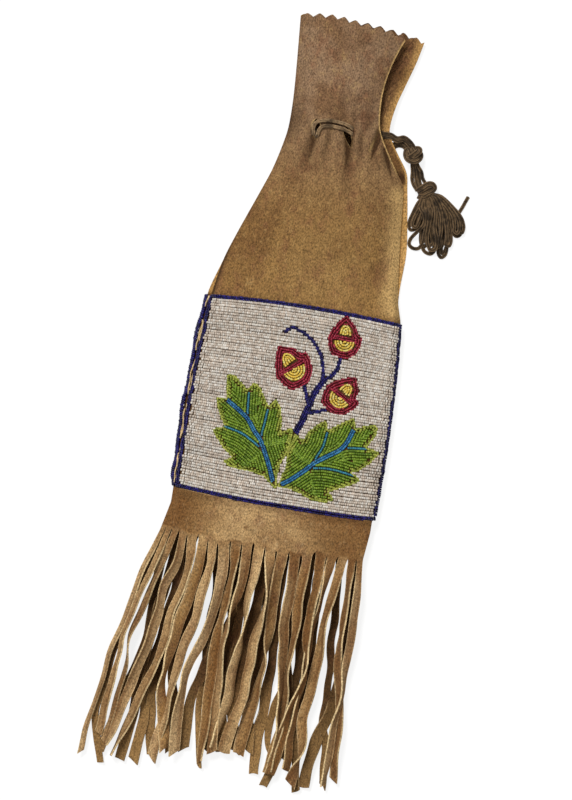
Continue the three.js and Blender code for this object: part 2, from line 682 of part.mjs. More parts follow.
const upperKnot = new THREE.Vector2(backRight(NECK) + KNOT_OUT, NECK - KNOT_DROP);
const lowerKnot = upperKnot.clone().add(new THREE.Vector2(...LINK_STEP));
const knotWay = lowerKnot.clone().sub(upperKnot).normalize();
const knotSide = new THREE.Vector2(-knotWay.y, knotWay.x);
const KNOT_REACH = KNOT_LENGTH / 2 + GAP; // from a knot's middle to the strands that meet it

// A strand from one exit of the neck to the upper knot.
function lead([exitX, exitZ], offset, rise) {
  const top = upperKnot.clone().addScaledVector(knotWay, -KNOT_REACH);
  const end = top.clone().addScaledVector(knotSide, offset);
  const before = top.clone().addScaledVector(knotWay, -2 * CORD);
  const height = KNOT_RADIUS + rise;
  const route = [
    [exitX + GAP, NECK + offset, exitZ],
    [exitX + 2 * CORD, NECK + offset, exitZ],
    [before.x, before.y + LEAD_SPREAD * offset, height],
    [end.x, end.y, height],
  ];
  return tube(route, CORD_RADIUS, 6);
}

// A tied knot: a barrel with rounded ends, lying along the cord.
function knot({ x, y }) {
  const end = KNOT_LENGTH / 2;
  const profile = [[0, -end], [0.7, -end], [1, -end / 2], [1, end / 2], [0.7, end], [0, end]];
  const points = profile.map(([share, along]) => new THREE.Vector2(share * KNOT_RADIUS, along));
  const barrel = new THREE.LatheGeometry(points, 10);
  return barrel.rotateZ(knotWay.angle() - Math.PI / 2).translate(x, y, KNOT_RADIUS);
}

// The strands between the two knots, side by side as one bundle.
function link() {
  const start = upperKnot.clone().addScaledVector(knotWay, KNOT_REACH);
  const end = lowerKnot.clone().addScaledVector(knotWay, -KNOT_REACH);
  return tube([start, end].map(({ x, y }) => [x, y, KNOT_RADIUS]), LINK_RADIUS, 1);
}

// One edge of the hank: the loops hang from the lower knot as a flat drop with round ends.
const hankStart = lowerKnot.clone().addScaledVector(knotWay, KNOT_REACH + 2 * GAP);
const hankRun = lowerKnot.clone().add(new THREE.Vector2(...HANK_STEP)).sub(hankStart);
const hankSide = new THREE.Vector2(-hankRun.y, hankRun.x).normalize();

function hankEdge(sign) {
  return HANK_HALF_WIDTHS.map(([share, half]) =>
    hankStart.clone().addScaledVector(hankRun, share).addScaledVector(hankSide, sign * half),
  );
}

function hank() {
  return prism([...hankEdge(-1), ...hankEdge(1).reverse()], 0, HANK_THICKNESS);
}

// The cut end of the cord, lying out of the hank's far shoulder.
function looseEnd() {
  const [, shoulder, side] = hankEdge(1);
  const out = side.clone().sub(shoulder).normalize();
  const root = shoulder.clone().lerp(side, 0.5).add(new THREE.Vector2(-out.y, out.x).multiplyScalar(GAP));
  const bend = root.clone().add(new THREE.Vector2(-out.y, out.x).multiplyScalar(2 * CORD));
  const tip = lowerKnot.clone().add(new THREE.Vector2(...LOOSE_STEP));
  const route = [
    [root.x, root.y, CORD],
    [bend.x, bend.y, CORD],
    [tip.x, tip.y, CORD_RADIUS],
  ];
  return tube(route, CORD_RADIUS, 5);
}

// Assembly

const HIDE_TAN = { color: "#8a683e", roughness: 0.95 };
const FRINGE_TAN = { color: "#a07f55", roughness: 0.95 };
const BEAD_WHITE = { color: "#cfc4b8", roughness: 0.35 };
const BEAD_NAVY = { color: "#1d1560", roughness: 0.3 };
const BEAD_GREEN = { color: "#5c8a1e", roughness: 0.3 };
const BEAD_BLUE = { color: "#2f7fb5", roughness: 0.3 };
const BEAD_RED = { color: "#8e1f33", roughness: 0.3 };
const BEAD_YELLOW = { color: "#e6c54a", roughness: 0.3 };
const CORD_BROWN = { color: "#5a4b38", roughness: 0.9 };

const bag = new THREE.Group();

function add(name, geometry, finish) {
  const mesh = new THREE.Mesh(geometry, new THREE.MeshStandardMaterial({ ...finish, metalness: 0 }));
  mesh.name = name;
  bag.add(mesh);
}

add("front_hide", frontHide(), HIDE_TAN);
add("back_hide", backHide(), HIDE_TAN);
add("front_fringe", frontFringe(), FRINGE_TAN);
add("back_fringe", backFringe(), FRINGE_TAN);

add("front_bead_ground", frontGround(), BEAD_WHITE);
add("front_border_top", frontPatch(fullColumns, topLane), BEAD_NAVY);
add("front_border_bottom", frontPatch(fullColumns, bottomLane), BEAD_NAVY);
add("front_border_left", frontPatch([-PANEL_HALF, -GROUND_HALF - GAP], sideProfile), BEAD_NAVY);
add("front_border_right", frontPatch([GROUND_HALF + GAP, PANEL_HALF], sideProfile), BEAD_NAVY);
leafShapes.forEach((shapes) => {
  add(`${shapes.name}_leaf`, leaf(shapes), BEAD_GREEN);
  add(`${shapes.name}_leaf_veins`, veins(shapes), BEAD_BLUE);
});
add("stem", stem(), BEAD_NAVY);
acornShapes.forEach((shapes) => {
  add(`${shapes.name}_acorn`, acornShell(shapes), BEAD_RED);
  add(`${shapes.name}_acorn_nut`, beads(shapes.nut), BEAD_YELLOW);
  add(`${shapes.name}_acorn_cup`, beads(shapes.cup), BEAD_YELLOW);
});

add("back_bead_ground", backPatch(-GROUND_HALF, GROUND_HALF, laneProfile()), BEAD_WHITE);
add("back_border_top", backPatch(-PANEL_HALF, PANEL_HALF, topLane), BEAD_NAVY);
add("back_border_bottom", backPatch(-PANEL_HALF, PANEL_HALF, bottomLane), BEAD_NAVY);
add("back_border_left", rolledEdge(), BEAD_NAVY);
add("back_border_right", backPatch(GROUND_HALF + GAP, PANEL_HALF, sideProfile), BEAD_NAVY);

add("upper_neck_turn", turn(TURN_DISTANCE), CORD_BROWN);
add("lower_neck_turn", turn(-TURN_DISTANCE), CORD_BROWN);
add("upper_lead_a", lead(RIGHT_EXIT, TURN_DISTANCE, TURN_DISTANCE), CORD_BROWN);
add("upper_lead_b", lead(RIGHT_EXIT, -TURN_DISTANCE, TURN_DISTANCE), CORD_BROWN);
add("lower_lead_a", lead(UNDER_EXIT, TURN_DISTANCE, -TURN_DISTANCE), CORD_BROWN);
add("lower_lead_b", lead(UNDER_EXIT, -TURN_DISTANCE, -TURN_DISTANCE), CORD_BROWN);
add("upper_knot", knot(upperKnot), CORD_BROWN);
add("knot_link", link(), CORD_BROWN);
add("lower_knot", knot(lowerKnot), CORD_BROWN);
add("drawstring_hank", hank(), CORD_BROWN);
add("drawstring_end", looseEnd(), CORD_BROWN);

export default bag;
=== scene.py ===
"""Beaded hide pipe bag lying on its back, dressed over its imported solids.

Sizes are in millimetres and become metres when a mesh is made. +X is the bag's right as seen from
its front, +Y runs up to the mouth and +Z rises from the floor that the bag lies on.
"""

import logging
import math
from abc import ABC, abstractmethod
from dataclasses import dataclass, field
from enum import Enum
from typing import Any, Callable, Iterable, Optional, Sequence

import bpy
import numpy as np
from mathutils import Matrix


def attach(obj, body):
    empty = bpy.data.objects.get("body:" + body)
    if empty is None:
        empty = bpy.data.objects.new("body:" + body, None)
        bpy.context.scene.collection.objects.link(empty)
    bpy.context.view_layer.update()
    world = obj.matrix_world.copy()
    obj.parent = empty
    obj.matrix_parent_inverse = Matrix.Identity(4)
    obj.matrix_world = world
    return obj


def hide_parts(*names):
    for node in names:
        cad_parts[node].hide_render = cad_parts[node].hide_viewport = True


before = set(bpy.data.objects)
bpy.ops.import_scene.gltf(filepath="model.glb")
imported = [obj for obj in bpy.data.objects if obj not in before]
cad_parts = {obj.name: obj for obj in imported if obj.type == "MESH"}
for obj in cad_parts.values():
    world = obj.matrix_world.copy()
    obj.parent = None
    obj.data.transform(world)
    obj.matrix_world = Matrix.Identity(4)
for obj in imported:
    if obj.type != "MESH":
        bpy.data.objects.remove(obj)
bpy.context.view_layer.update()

LOG = logging.getLogger("pipe_bag")
MM = 0.001
BODY = "root"
Array = np.ndarray


# Small helpers for numbers


def blend(start: Any, end: Any, share: Any) -> Array:
    """Straight mix of two values by a share from 0 to 1."""
    return start + (end - start) * share


def ease(value: Any, low: float, high: float) -> Array:
    """Smooth step: 0 below low, 1 above high, three t squared minus two t cubed between."""
    t = np.clip((np.asarray(value, float) - low) / (high - low), 0.0, 1.0)
    return t * t * (3.0 - 2.0 * t)


def hump(distance: Any) -> Array:
    """A hump of height 1, one minus the squared distance, squared, and nothing past distance 1."""
    return np.maximum(0.0, 1.0 - np.asarray(distance, float) ** 2) ** 2


def unit(vectors: Array) -> Array:
    """Vectors of the last axis made one long."""
    return vectors / np.maximum(np.linalg.norm(vectors, axis=-1, keepdims=True), 1e-9)


def together(*axes: Any) -> Array:
    """Coordinates, spread to one shape, as the last axis of an array of points."""
    return np.stack(np.broadcast_arrays(*axes), -1)


def curve_through(stations: Array, along: Any) -> Array:
    """Smooth curve through stations, read as across at a given along.

    Between two stations it is their eased mix plus t(1-t) times the run and the slopes of both ends,
    where a slope is the rise between a station's neighbours over their distance.

    Args:
        stations: Rows of along and across, rising along.
        along: Where the curve is read.

    Returns:
        The across values.
    """
    at, value = np.asarray(stations, float).T
    last = len(at) - 1
    before, after = np.maximum(np.arange(last + 1) - 1, 0), np.minimum(np.arange(last + 1) + 1, last)
    slope = (value[after] - value[before]) / (at[after] - at[before])
    along = np.asarray(along, float)
    i = np.searchsorted(at[1:-1], along, side="right")
    run = at[i + 1] - at[i]
    t = (along - at[i]) / run
    bend = t * (1 - t) * run * (slope[i] * (1 - t) - slope[i + 1] * t)
    return blend(value[i], value[i + 1], t * t * (3 - 2 * t)) + bend


def measured(path: Array) -> Array:
    """Length along a path at each of its points."""
    return np.concatenate([[0.0], np.cumsum(np.linalg.norm(np.diff(path, axis=0), axis=1))])


def sampled(values: Array, reach: Array, stops: Array) -> Array:
    """Rows of values that belong to lengths along a path, read at other lengths of it."""
    return together(*(np.interp(stops, reach, axis) for axis in values.T))


def spaced(path: Array, step: float) -> Array:
    """The same path with points about one step apart."""
    reach = measured(path)
    stops = np.linspace(0.0, reach[-1], max(2, int(round(reach[-1] / step)) + 1))
    return sampled(path, reach, stops)


def smooth_path(points: Sequence[Sequence[float]], step: float) -> Array:
    """A smooth route through a few points, with points one step apart.

    Each coordinate is a cubic between points, its slope at a point the rise between its neighbours
    over the distance between them.

    Args:
        points: The points that the route passes.
        step: Distance between the points of the result.

    Returns:
        The route, one point a row.
    """
    knots = np.asarray(points, float)
    at = measured(knots)
    fine = np.linspace(0.0, at[-1], 40 * len(knots))
    return spaced(together(*(curve_through(together(at, axis), fine) for axis in knots.T)), step)


# Lines on a flat sheet


def inside(points: Array, outline: Array) -> Array:
    """True for points within a closed outline: a line to the right crosses it an odd number of times.

    Args:
        points: The points.
        outline: The outline, whose last point isn't the first one again.

    Returns:
        True or false for each point.
    """
    ax, ay = outline.T
    bx, by = np.roll(outline, -1, axis=0).T
    x, y = points[:, :1], points[:, 1:]
    spans = (ay > y) != (by > y)
    crossing = ax + (y - ay) * (bx - ax) / np.where(by == ay, 1e-9, by - ay)
    return (spans & (x < crossing)).sum(axis=1) % 2 == 1


def distance(points: Array, line: Array) -> Array:
    """Distance of points from an open line: the least of those from its straight parts.

    Args:
        points: The points.
        line: The line.

    Returns:
        The distances.
    """
    start, run = line[:-1], np.diff(line, axis=0)
    way = points[:, None] - start[None]
    t = np.clip((way * run).sum(-1) / np.maximum((run**2).sum(-1), 1e-9), 0, 1)
    return np.linalg.norm(way - t[..., None] * run, axis=-1).min(axis=1)


def closed(outline: Array) -> Array:
    """An outline with its first point repeated at its end."""
    return np.concatenate([outline, outline[:1]])


def beside(line: Array, off: float) -> Array:
    """A line moved to its left by a distance."""
    way = unit(np.gradient(line, axis=0))
    return line + off * together(-way[:, 1], way[:, 0])


def lengthened(line: Array, start: float, end: float) -> Array:
    """A line run on straight at both ends."""
    first, last = unit(line[0] - line[1]), unit(line[-1] - line[-2])
    return np.concatenate([[line[0] + start * first], line, [line[-1] + end * last]])


# Meshes


def point_normals(points: Array, quads: Array) -> Array:
    """Mean direction of the faces at each point: the sum of the faces' diagonals' cross products.

    Args:
        points: Points of a sheet.
        quads: Its faces.

    Returns:
        A direction one long for each point.
    """
    a, b, c, d = (points[corner] for corner in quads.T)
    across = np.cross(c - a, d - b)
    total = np.zeros_like(points)
    for corner in quads.T:
        np.add.at(total, corner, across)
    return unit(total)


def make_piece(
    name: str,
    points: Array,
    faces: Sequence[Array],
    finishes: Sequence[bpy.types.Material],
    marks: Optional[dict[str, Array]] = None,
    wrap: Optional[Array] = None,
    sharp: float = 50.0,
) -> bpy.types.Object:
    """Makes a mesh piece at the origin.

    Args:
        name: Name of the piece.
        points: Its points in millimetres.
        faces: Arrays of faces, each of one number of corners.
        finishes: Materials of the arrays in their order; the last one serves those that are left.
        marks: Values at the points: numbers, or colours of four channels.
        wrap: Place of each face corner on the wrapped pattern.
        sharp: Edges that turn by more than this many degrees stay sharp.

    Returns:
        The new object.
    """
    sizes = np.concatenate([np.full(len(f), f.shape[1]) for f in faces])
    corners = np.concatenate([f.ravel() for f in faces]).astype(np.int32)
    mesh = bpy.data.meshes.new(name)
    mesh.vertices.add(len(points))
    mesh.vertices.foreach_set("co", (points * MM).astype(np.float32).ravel())
    mesh.loops.add(len(corners))
    mesh.loops.foreach_set("vertex_index", corners)
    mesh.polygons.add(len(sizes))
    mesh.polygons.foreach_set("loop_start", np.concatenate([[0], np.cumsum(sizes)[:-1]]).astype(np.int32))
    numbers = np.concatenate([np.full(len(f), min(i, len(finishes) - 1)) for i, f in enumerate(faces)])
    mesh.polygons.foreach_set("material_index", numbers.astype(np.int32))
    mesh.polygons.foreach_set("use_smooth", np.ones(len(sizes), bool))
    mesh.update(calc_edges=True)
    for mark, value in (marks or {}).items():
        coloured = value.ndim == 2
        layer = mesh.attributes.new(mark, "FLOAT_COLOR" if coloured else "FLOAT", "POINT")
        layer.data.foreach_set("color" if coloured else "value", value.astype(np.float32).ravel())
    if wrap is not None:
        mesh.uv_layers.new(name="wrap").data.foreach_set("uv", wrap.astype(np.float32).ravel())
    mesh.set_sharp_from_angle(angle=math.radians(sharp))
    for finish in finishes:
        mesh.materials.append(finish)
    piece = bpy.data.objects.new(name, mesh)
    bpy.context.scene.collection.objects.link(piece)
    return piece


def thick_sheet(
    name: str, points: Array, quads: Array, thickness: float, finishes: Sequence[bpy.types.Material],
    marks: dict[str, Array],
) -> bpy.types.Object:
    """Makes a sheet with its thickness behind its outer face.

    The inner face is the outer one moved back along each point's mean direction, and each edge that
    only one quad uses gets a rim quad.

    Args:
        name: Name of the piece.
        points: Points of the outer face.
        quads: Its quads, turned outwards.
        thickness: Thickness of the sheet.
        finishes: Materials of the outer face, the rim and the inner face.
        marks: Values at the points.

    Returns:
        The closed piece.
    """
    count = len(points)
    inner = points - thickness * point_normals(points, quads)
    edges = np.stack([quads, np.roll(quads, -1, axis=1)], -1).reshape(-1, 2)
    key = np.sort(edges, axis=1) @ np.array([count, 1])
    _, first, uses = np.unique(key, return_index=True, return_counts=True)
    a, b = edges[first[uses == 1]].T
    faces = [quads, together(b, a, a + count, b + count), quads[:, ::-1] + count]
    both = {mark: np.concatenate([value, value]) for mark, value in marks.items()}
    return make_piece(name, np.concatenate([points, inner]), faces, finishes, both)


def place(piece: bpy.types.Object, slot: str, *nodes: str) -> None:
    """Sets a piece on the bag's body in the place of its solids, and reports it.

    Args:
        piece: The finished piece.
        slot: The record's material slot; not used.
        nodes: Solids that it stands for.
    """
    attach(piece, BODY)
    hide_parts(*nodes)
    LOG.info("%s: %d faces", piece.name, len(piece.data.polygons))


# Finishes


def linear(code: str) -> tuple[float, float, float, float]:
    """Linear colour of an sRGB hex code."""
    share = np.array([int(code[i : i + 2], 16) for i in (1, 3, 5)]) / 255
    return (*np.where(share <= 0.04045, share / 12.92, ((share + 0.055) / 1.055) ** 2.4).tolist(), 1.0)


def add_node(
    tree: bpy.types.NodeTree, kind: str, inputs: Optional[dict[str, Any]] = None, take: Optional[str] = None,
    **settings: Any,
) -> bpy.types.NodeSocket:
    """Adds a node with its settings and links.

    Args:
        tree: The material's nodes.
        kind: Type of the node.
        inputs: Values or sockets for its inputs, by name or identifier.
        take: Output to give back, by name or identifier; the first one where it isn't given.
        settings: Properties to set.

    Returns:
        That output.
    """
    node = tree.nodes.new(kind)
    for key, value in settings.items():
        setattr(node, key, value)
    for key, value in (inputs or {}).items():
        socket = next(s for s in node.inputs if key in (s.identifier, s.name))
        if isinstance(value, bpy.types.NodeSocket):
            tree.links.new(value, socket)
        else:
            socket.default_value = value
    return next((s for s in node.outputs if take in (None, s.identifier, s.name)), None)


def per_metre(size: float) -> float:
    """Pattern scale at which its features are about size millimetres wide."""
    return 1.0 / (size * MM)


def layered(tree: bpy.types.NodeTree, colour: Any, layers: Iterable[tuple]) -> bpy.types.NodeSocket:
    """Lays colours over a first one, each by its share.

    Args:
        tree: The material's nodes.
        colour: The first colour.
        layers: Hex code, the socket that its share follows, and the low, high and most of a smooth step
            of that socket, or None where the socket is the share itself.

    Returns:
        The colour of the whole stack.
    """
    for code, value, step in layers:
        if step:
            limits = dict(zip(("From Min", "From Max", "To Max"), step), Value=value)
            value = add_node(tree, "ShaderNodeMapRange", limits, interpolation_type="SMOOTHSTEP")
        mixed = {"Factor_Float": value, "A_Color": colour, "B_Color": linear(code)}
        colour = add_node(tree, "ShaderNodeMix", mixed, "Result_Color", data_type="RGBA")
    return colour


class Finish(ABC):
    """The finish of a real material, of which a Blender material is made."""

    name: str

    @abstractmethod
    def shader(self, tree: bpy.types.NodeTree) -> bpy.types.NodeSocket:
        """Adds the nodes of the finish to a material's nodes and gives back their shader."""

    def make(self) -> bpy.types.Material:
        """Makes the material.

        Returns:
            The material.
        """
        material = bpy.data.materials.new(self.name)
        material.use_nodes = True
        tree = material.node_tree
        tree.nodes.clear()
        add_node(tree, "ShaderNodeOutputMaterial", {"Surface": self.shader(tree)})
        return material


@dataclass(frozen=True)
class SmokedSuede(Finish):
    """Smoke-tanned hide, scraped and worked soft by hand.

    The eye sees a matt napped face without gloss, cloudy with smoke, paler where it is rubbed and
    darker where it is handled, with painted shade and painted highlights from the piece's own marks, and a
    fine fibre that catches light at the edges.
    """

    name: str
    golden: str = "#957040"
    greyed: str = "#937559"
    smoke: str = "#6c492a"
    pale: str = "#cba66c"
    # colour of soiled blotches, and of the wear mark, which carries painted shade as well as real wear
    soil_and_shade: str = "#3c2410"
    rust: str = "#80543a"
    patch: float = 46.0  # width of a cloud of smoke
    stain: float = 17.0  # width of a rusty stain
    blotch: float = 5.0  # width of a rubbed or soiled blotch
    nap: float = 1.2  # nap of the face, drawn coarser than real fibre so that it shows
    contrast: float = 0.55  # how far the nap goes from dark to light
    turn: tuple[float, float] = (120.0, 245.0)  # heights between which golden turns grey
    stretch: tuple[float, float, float] = (1.3, 0.8, 1.0)  # marks run along the hide
    relief: float = 0.5

    def shader(self, tree: bpy.types.NodeTree) -> bpy.types.NodeSocket:
        """Colours laid over each other by patterns and by the piece's own marks.

        Args:
            tree: The material's nodes.

        Returns:
            The shader.
        """
        coords = add_node(tree, "ShaderNodeTexCoord", take="Object")
        stretched = {"Vector": coords, "Scale": self.stretch}
        wide = add_node(tree, "ShaderNodeMapping", stretched, "Vector")
        rise = add_node(tree, "ShaderNodeSeparateXYZ", {"Vector": coords}, "Y")
        cloud, rubbed, fibre, stained = (
            add_node(tree, "ShaderNodeTexNoise", noise, "Fac")
            for noise in (
                {"Vector": coords, "Scale": per_metre(self.patch), "Detail": 3.0, "Roughness": 0.6},
                {"Vector": wide, "Scale": per_metre(self.blotch), "Detail": 5.0, "Roughness": 0.68},
                {"Vector": wide, "Scale": per_metre(self.nap), "Detail": 2.0, "Roughness": 0.6},
                {"Vector": wide, "Scale": per_metre(self.stain), "Detail": 5.0, "Roughness": 0.7},
            )
        )
        tone, wear_and_shade = (
            add_node(tree, "ShaderNodeAttribute", take="Fac", attribute_name=mark)
            for mark in ("tone", "wear_and_shade")
        )
        squared = {"Value": tone, "Value_001": tone}
        bared = add_node(tree, "ShaderNodeMath", squared, operation="MULTIPLY")
        low, high = (value * MM for value in self.turn)
        layers = (
            (self.greyed, rise, (low, high, 1.0)),
            (self.pale, tone, None),
            (self.smoke, cloud, (0.46, 0.68, 0.62)),
            (self.rust, stained, (0.48, 0.68, 0.55)),
            (self.pale, rubbed, (0.52, 0.74, 0.4)),
            (self.soil_and_shade, rubbed, (0.46, 0.28, 0.42)),
            (self.pale, bared, None),
            # the wear mark darkens by real wear and by painted shade in folds, creases, seams, gaps and under
            # beads
            (self.soil_and_shade, wear_and_shade, None),
        )
        colour = layered(tree, linear(self.golden), layers)
        light = {"To Min": 1 - self.contrast, "To Max": 1 + self.contrast}
        bright = {"Value": fibre, "From Min": 0.3, "From Max": 0.7, **light}
        bright = add_node(tree, "ShaderNodeMapRange", bright)
        colour = add_node(tree, "ShaderNodeHueSaturation", {"Color": colour, "Value": bright}, "Color")
        height = add_node(tree, "ShaderNodeMath", {"Value": fibre, "Value_001": rubbed}, operation="ADD")
        bump = {"Height": height, "Strength": self.relief, "Distance": 0.5 * MM}
        normal = add_node(tree, "ShaderNodeBump", bump, "Normal")
        surface = {
            "Base Color": colour, "Roughness": 0.93, "Specular IOR Level": 0.18, "Sheen Weight": 0.18,
            "Sheen Roughness": 0.55, "Sheen Tint": linear(self.pale), "Normal": normal,
        }
        return add_node(tree, "ShaderNodeBsdfPrincipled", surface)


@dataclass(frozen=True)
class SeedBeadGlass(Finish):
    """Small drawn-glass beads, tumbled smooth.

    The eye sees rows of rounded dots with small highlights, each bead a little off in shade.
    """

    name: str
    roughness: float = 0.3
    cloud: float = 9.0  # width of a patch dulled by dirt

    def shader(self, tree: bpy.types.NodeTree) -> bpy.types.NodeSocket:
        """Each bead's own colour with its painted crown light and flank shade, dulled in patches.

        Args:
            tree: The material's nodes.

        Returns:
            The shader.
        """
        coords = add_node(tree, "ShaderNodeTexCoord", take="Object")
        shade = add_node(tree, "ShaderNodeAttribute", take="Color", attribute_name="shade")
        noise = {"Vector": coords, "Scale": per_metre(self.cloud), "Detail": 4.0, "Roughness": 0.65}
        dirt = add_node(tree, "ShaderNodeTexNoise", noise, "Fac")
        dulled = {"Value": dirt, "From Min": 0.3, "From Max": 0.7, "To Min": 0.84, "To Max": 1.08}
        bright = add_node(tree, "ShaderNodeMapRange", dulled)
        colour = add_node(tree, "ShaderNodeHueSaturation", {"Color": shade, "Value": bright}, "Color")
        surface = {"Base Color": colour, "Roughness": self.roughness, "IOR": 1.5, "Specular IOR Level": 0.3}
        return add_node(tree, "ShaderNodeBsdfPrincipled", surface)


@dataclass(frozen=True)
class FoldedCord(Finish):
    """Soft dark cord, woven flat and folded along its middle, dulled and rubbed by handling.

    The eye sees two matt rounded lobes with a painted shade line along the fold between them, and fibres
    running along.
    """

    name: str = "folded_cotton_cord"
    crown: str = "#866b4b"
    groove: str = "#110b06"
    lay: float = 9.0  # length of cord over which the fibres move on by one
    fibres: float = 7.0
    soiled: float = 8.0  # length of a soiled stretch
    fold: float = 0.75  # how dark the painted shade in the fold is
    tuft: float = 2.2  # width of a tuft of fuzz

    def shader(self, tree: bpy.types.NodeTree) -> bpy.types.NodeSocket:
        """Fibres by the wrapped pattern: round the cord in u, millimetres along in v.

        The fold is where the cosine of four pi u is near minus one, at the middle of both faces, and the
        colour is darkened there as painted shade.

        Args:
            tree: The material's nodes.

        Returns:
            The shader.
        """
        wrap, coords = (add_node(tree, "ShaderNodeTexCoord", take=kind) for kind in ("UV", "Object"))
        round_it = add_node(tree, "ShaderNodeSeparateXYZ", {"Vector": wrap}, "X")
        twice = {"Value": round_it, "Value_001": 4 * math.pi}
        lobes = add_node(tree, "ShaderNodeMath", twice, operation="MULTIPLY")
        lobes = add_node(tree, "ShaderNodeMath", {"Value": lobes}, operation="COSINE")
        spun = {"Vector": wrap, "Scale": (self.fibres, 1.0 / self.lay, 1.0)}
        spun = add_node(tree, "ShaderNodeMapping", spun, "Vector")
        fibre, fuzz, handled = (
            add_node(tree, "ShaderNodeTexNoise", noise, "Fac")
            for noise in (
                {"Vector": spun, "Scale": 3.0, "Detail": 3.0, "Roughness": 0.6},
                {"Vector": coords, "Scale": per_metre(self.tuft), "Detail": 4.0, "Roughness": 0.7},
                {"Vector": coords, "Scale": per_metre(self.soiled), "Detail": 3.0},
            )
        )
        rough = add_node(tree, "ShaderNodeMath", {"Value": fibre, "Value_001": fuzz}, operation="ADD")
        layers = (
            (self.crown, rough, (0.55, 1.25, 1.0)),
            # painted shade along the fold
            (self.groove, lobes, (-0.45, -0.95, self.fold)),
            (self.groove, handled, (0.45, 0.66, 0.7)),
        )
        colour = layered(tree, linear(self.groove), layers)
        bump = {"Height": rough, "Strength": 0.5, "Distance": 0.3 * MM}
        normal = add_node(tree, "ShaderNodeBump", bump, "Normal")
        surface = {
            "Base Color": colour, "Roughness": 0.9, "Specular IOR Level": 0.2, "Sheen Weight": 0.12,
            "Normal": normal,
        }
        return add_node(tree, "ShaderNodeBsdfPrincipled", surface)


@dataclass(frozen=True)
class PaleFloor(Finish):
    """Plain pale studio floor, shown white to the camera and keeping the bag's shadow."""

    name: str = "pale_studio_paper"
    colour: str = "#8a8988"
    lift: float = 0.82  # how much the camera's view of it is raised towards white

    def shader(self, tree: bpy.types.NodeTree) -> bpy.types.NodeSocket:
        """Matt paper, with a glow that only the camera and reflections see.

        Args:
            tree: The material's nodes.

        Returns:
            The shader.
        """
        path = tree.nodes.new("ShaderNodeLightPath")
        seen = path.outputs["Is Camera Ray"]
        for other in ("Is Glossy Ray", "Is Transmission Ray"):
            either = {"Value": seen, "Value_001": path.outputs[other]}
            seen = add_node(tree, "ShaderNodeMath", either, operation="MAXIMUM")
        raised = {"Value": seen, "Value_001": self.lift}
        glow = add_node(tree, "ShaderNodeMath", raised, operation="MULTIPLY")
        paper = add_node(tree, "ShaderNodeBsdfDiffuse", {"Color": linear(self.colour)})
        light = add_node(tree, "ShaderNodeEmission", {"Strength": glow})
        return add_node(tree, "ShaderNodeAddShader", {"Shader": paper, "Shader_001": light})


# Form of the bag

# Edges above the panel, as shares of the mouth's rise and of the panel's half width
LEFT_EDGE = [
    [0, 1], [0.124, 0.932], [0.215, 0.842], [0.378, 0.658], [0.459, 0.571], [0.568, 0.492],
    [0.622, 0.474], [0.731, 0.478], [1, 0.535],
]
RIGHT_EDGE = [
    [0, 1], [0.079, 0.932], [0.192, 0.886], [0.351, 0.838], [0.45, 0.81], [0.475, 0.784], [0.5, 0.73],
    [0.57, 0.585], [0.615, 0.503], [0.65, 0.462], [0.722, 0.438], [0.803, 0.45], [0.895, 0.517], [1, 0.645],
]
BACK_RIGHT_EDGE = [
    [0, 1], [0.079, 0.936], [0.242, 0.942], [0.351, 0.9], [0.459, 0.848], [0.514, 0.812], [0.57, 0.695],
    [0.615, 0.605], [0.65, 0.568], [0.731, 0.598], [0.812, 0.668], [0.894, 0.741], [1, 0.81],
]
# Folds of the front hide: start x, y, end x, y, depth at the start, half width
FRONT_FOLDS = [
    [11.5, 204, 18, 150, 2.3, 3.0],
    [-15, 200, -23, 158, 1.8, 3.2],
    [-3, 203, -6, 164, 1.3, 2.4],
    [21, 206, 26, 166, 1.3, 2.2],
    [33.2, 213.5, 29.2, 186, 3.4, 1.5],
    [39.0, 200, 50.5, 174, 2.8, 1.5],
    [37.2, 207, 38.5, 186, -1.5, 2.2],
    [4, 204, 7, 162, -1.2, 3.6],
    [27, 208, 31, 150, -1.3, 3.0],
    [3, 214, 4, 256, 0.9, 4.0],
    [25, 213, 26, 252, 1.4, 3.2],
    [-26, 211, -28, 246, 0.8, 4.0],
    [14, 213, 14, 246, 0.8, 3.0],
    [-8, 213, -8, 250, -0.6, 4.0],
]


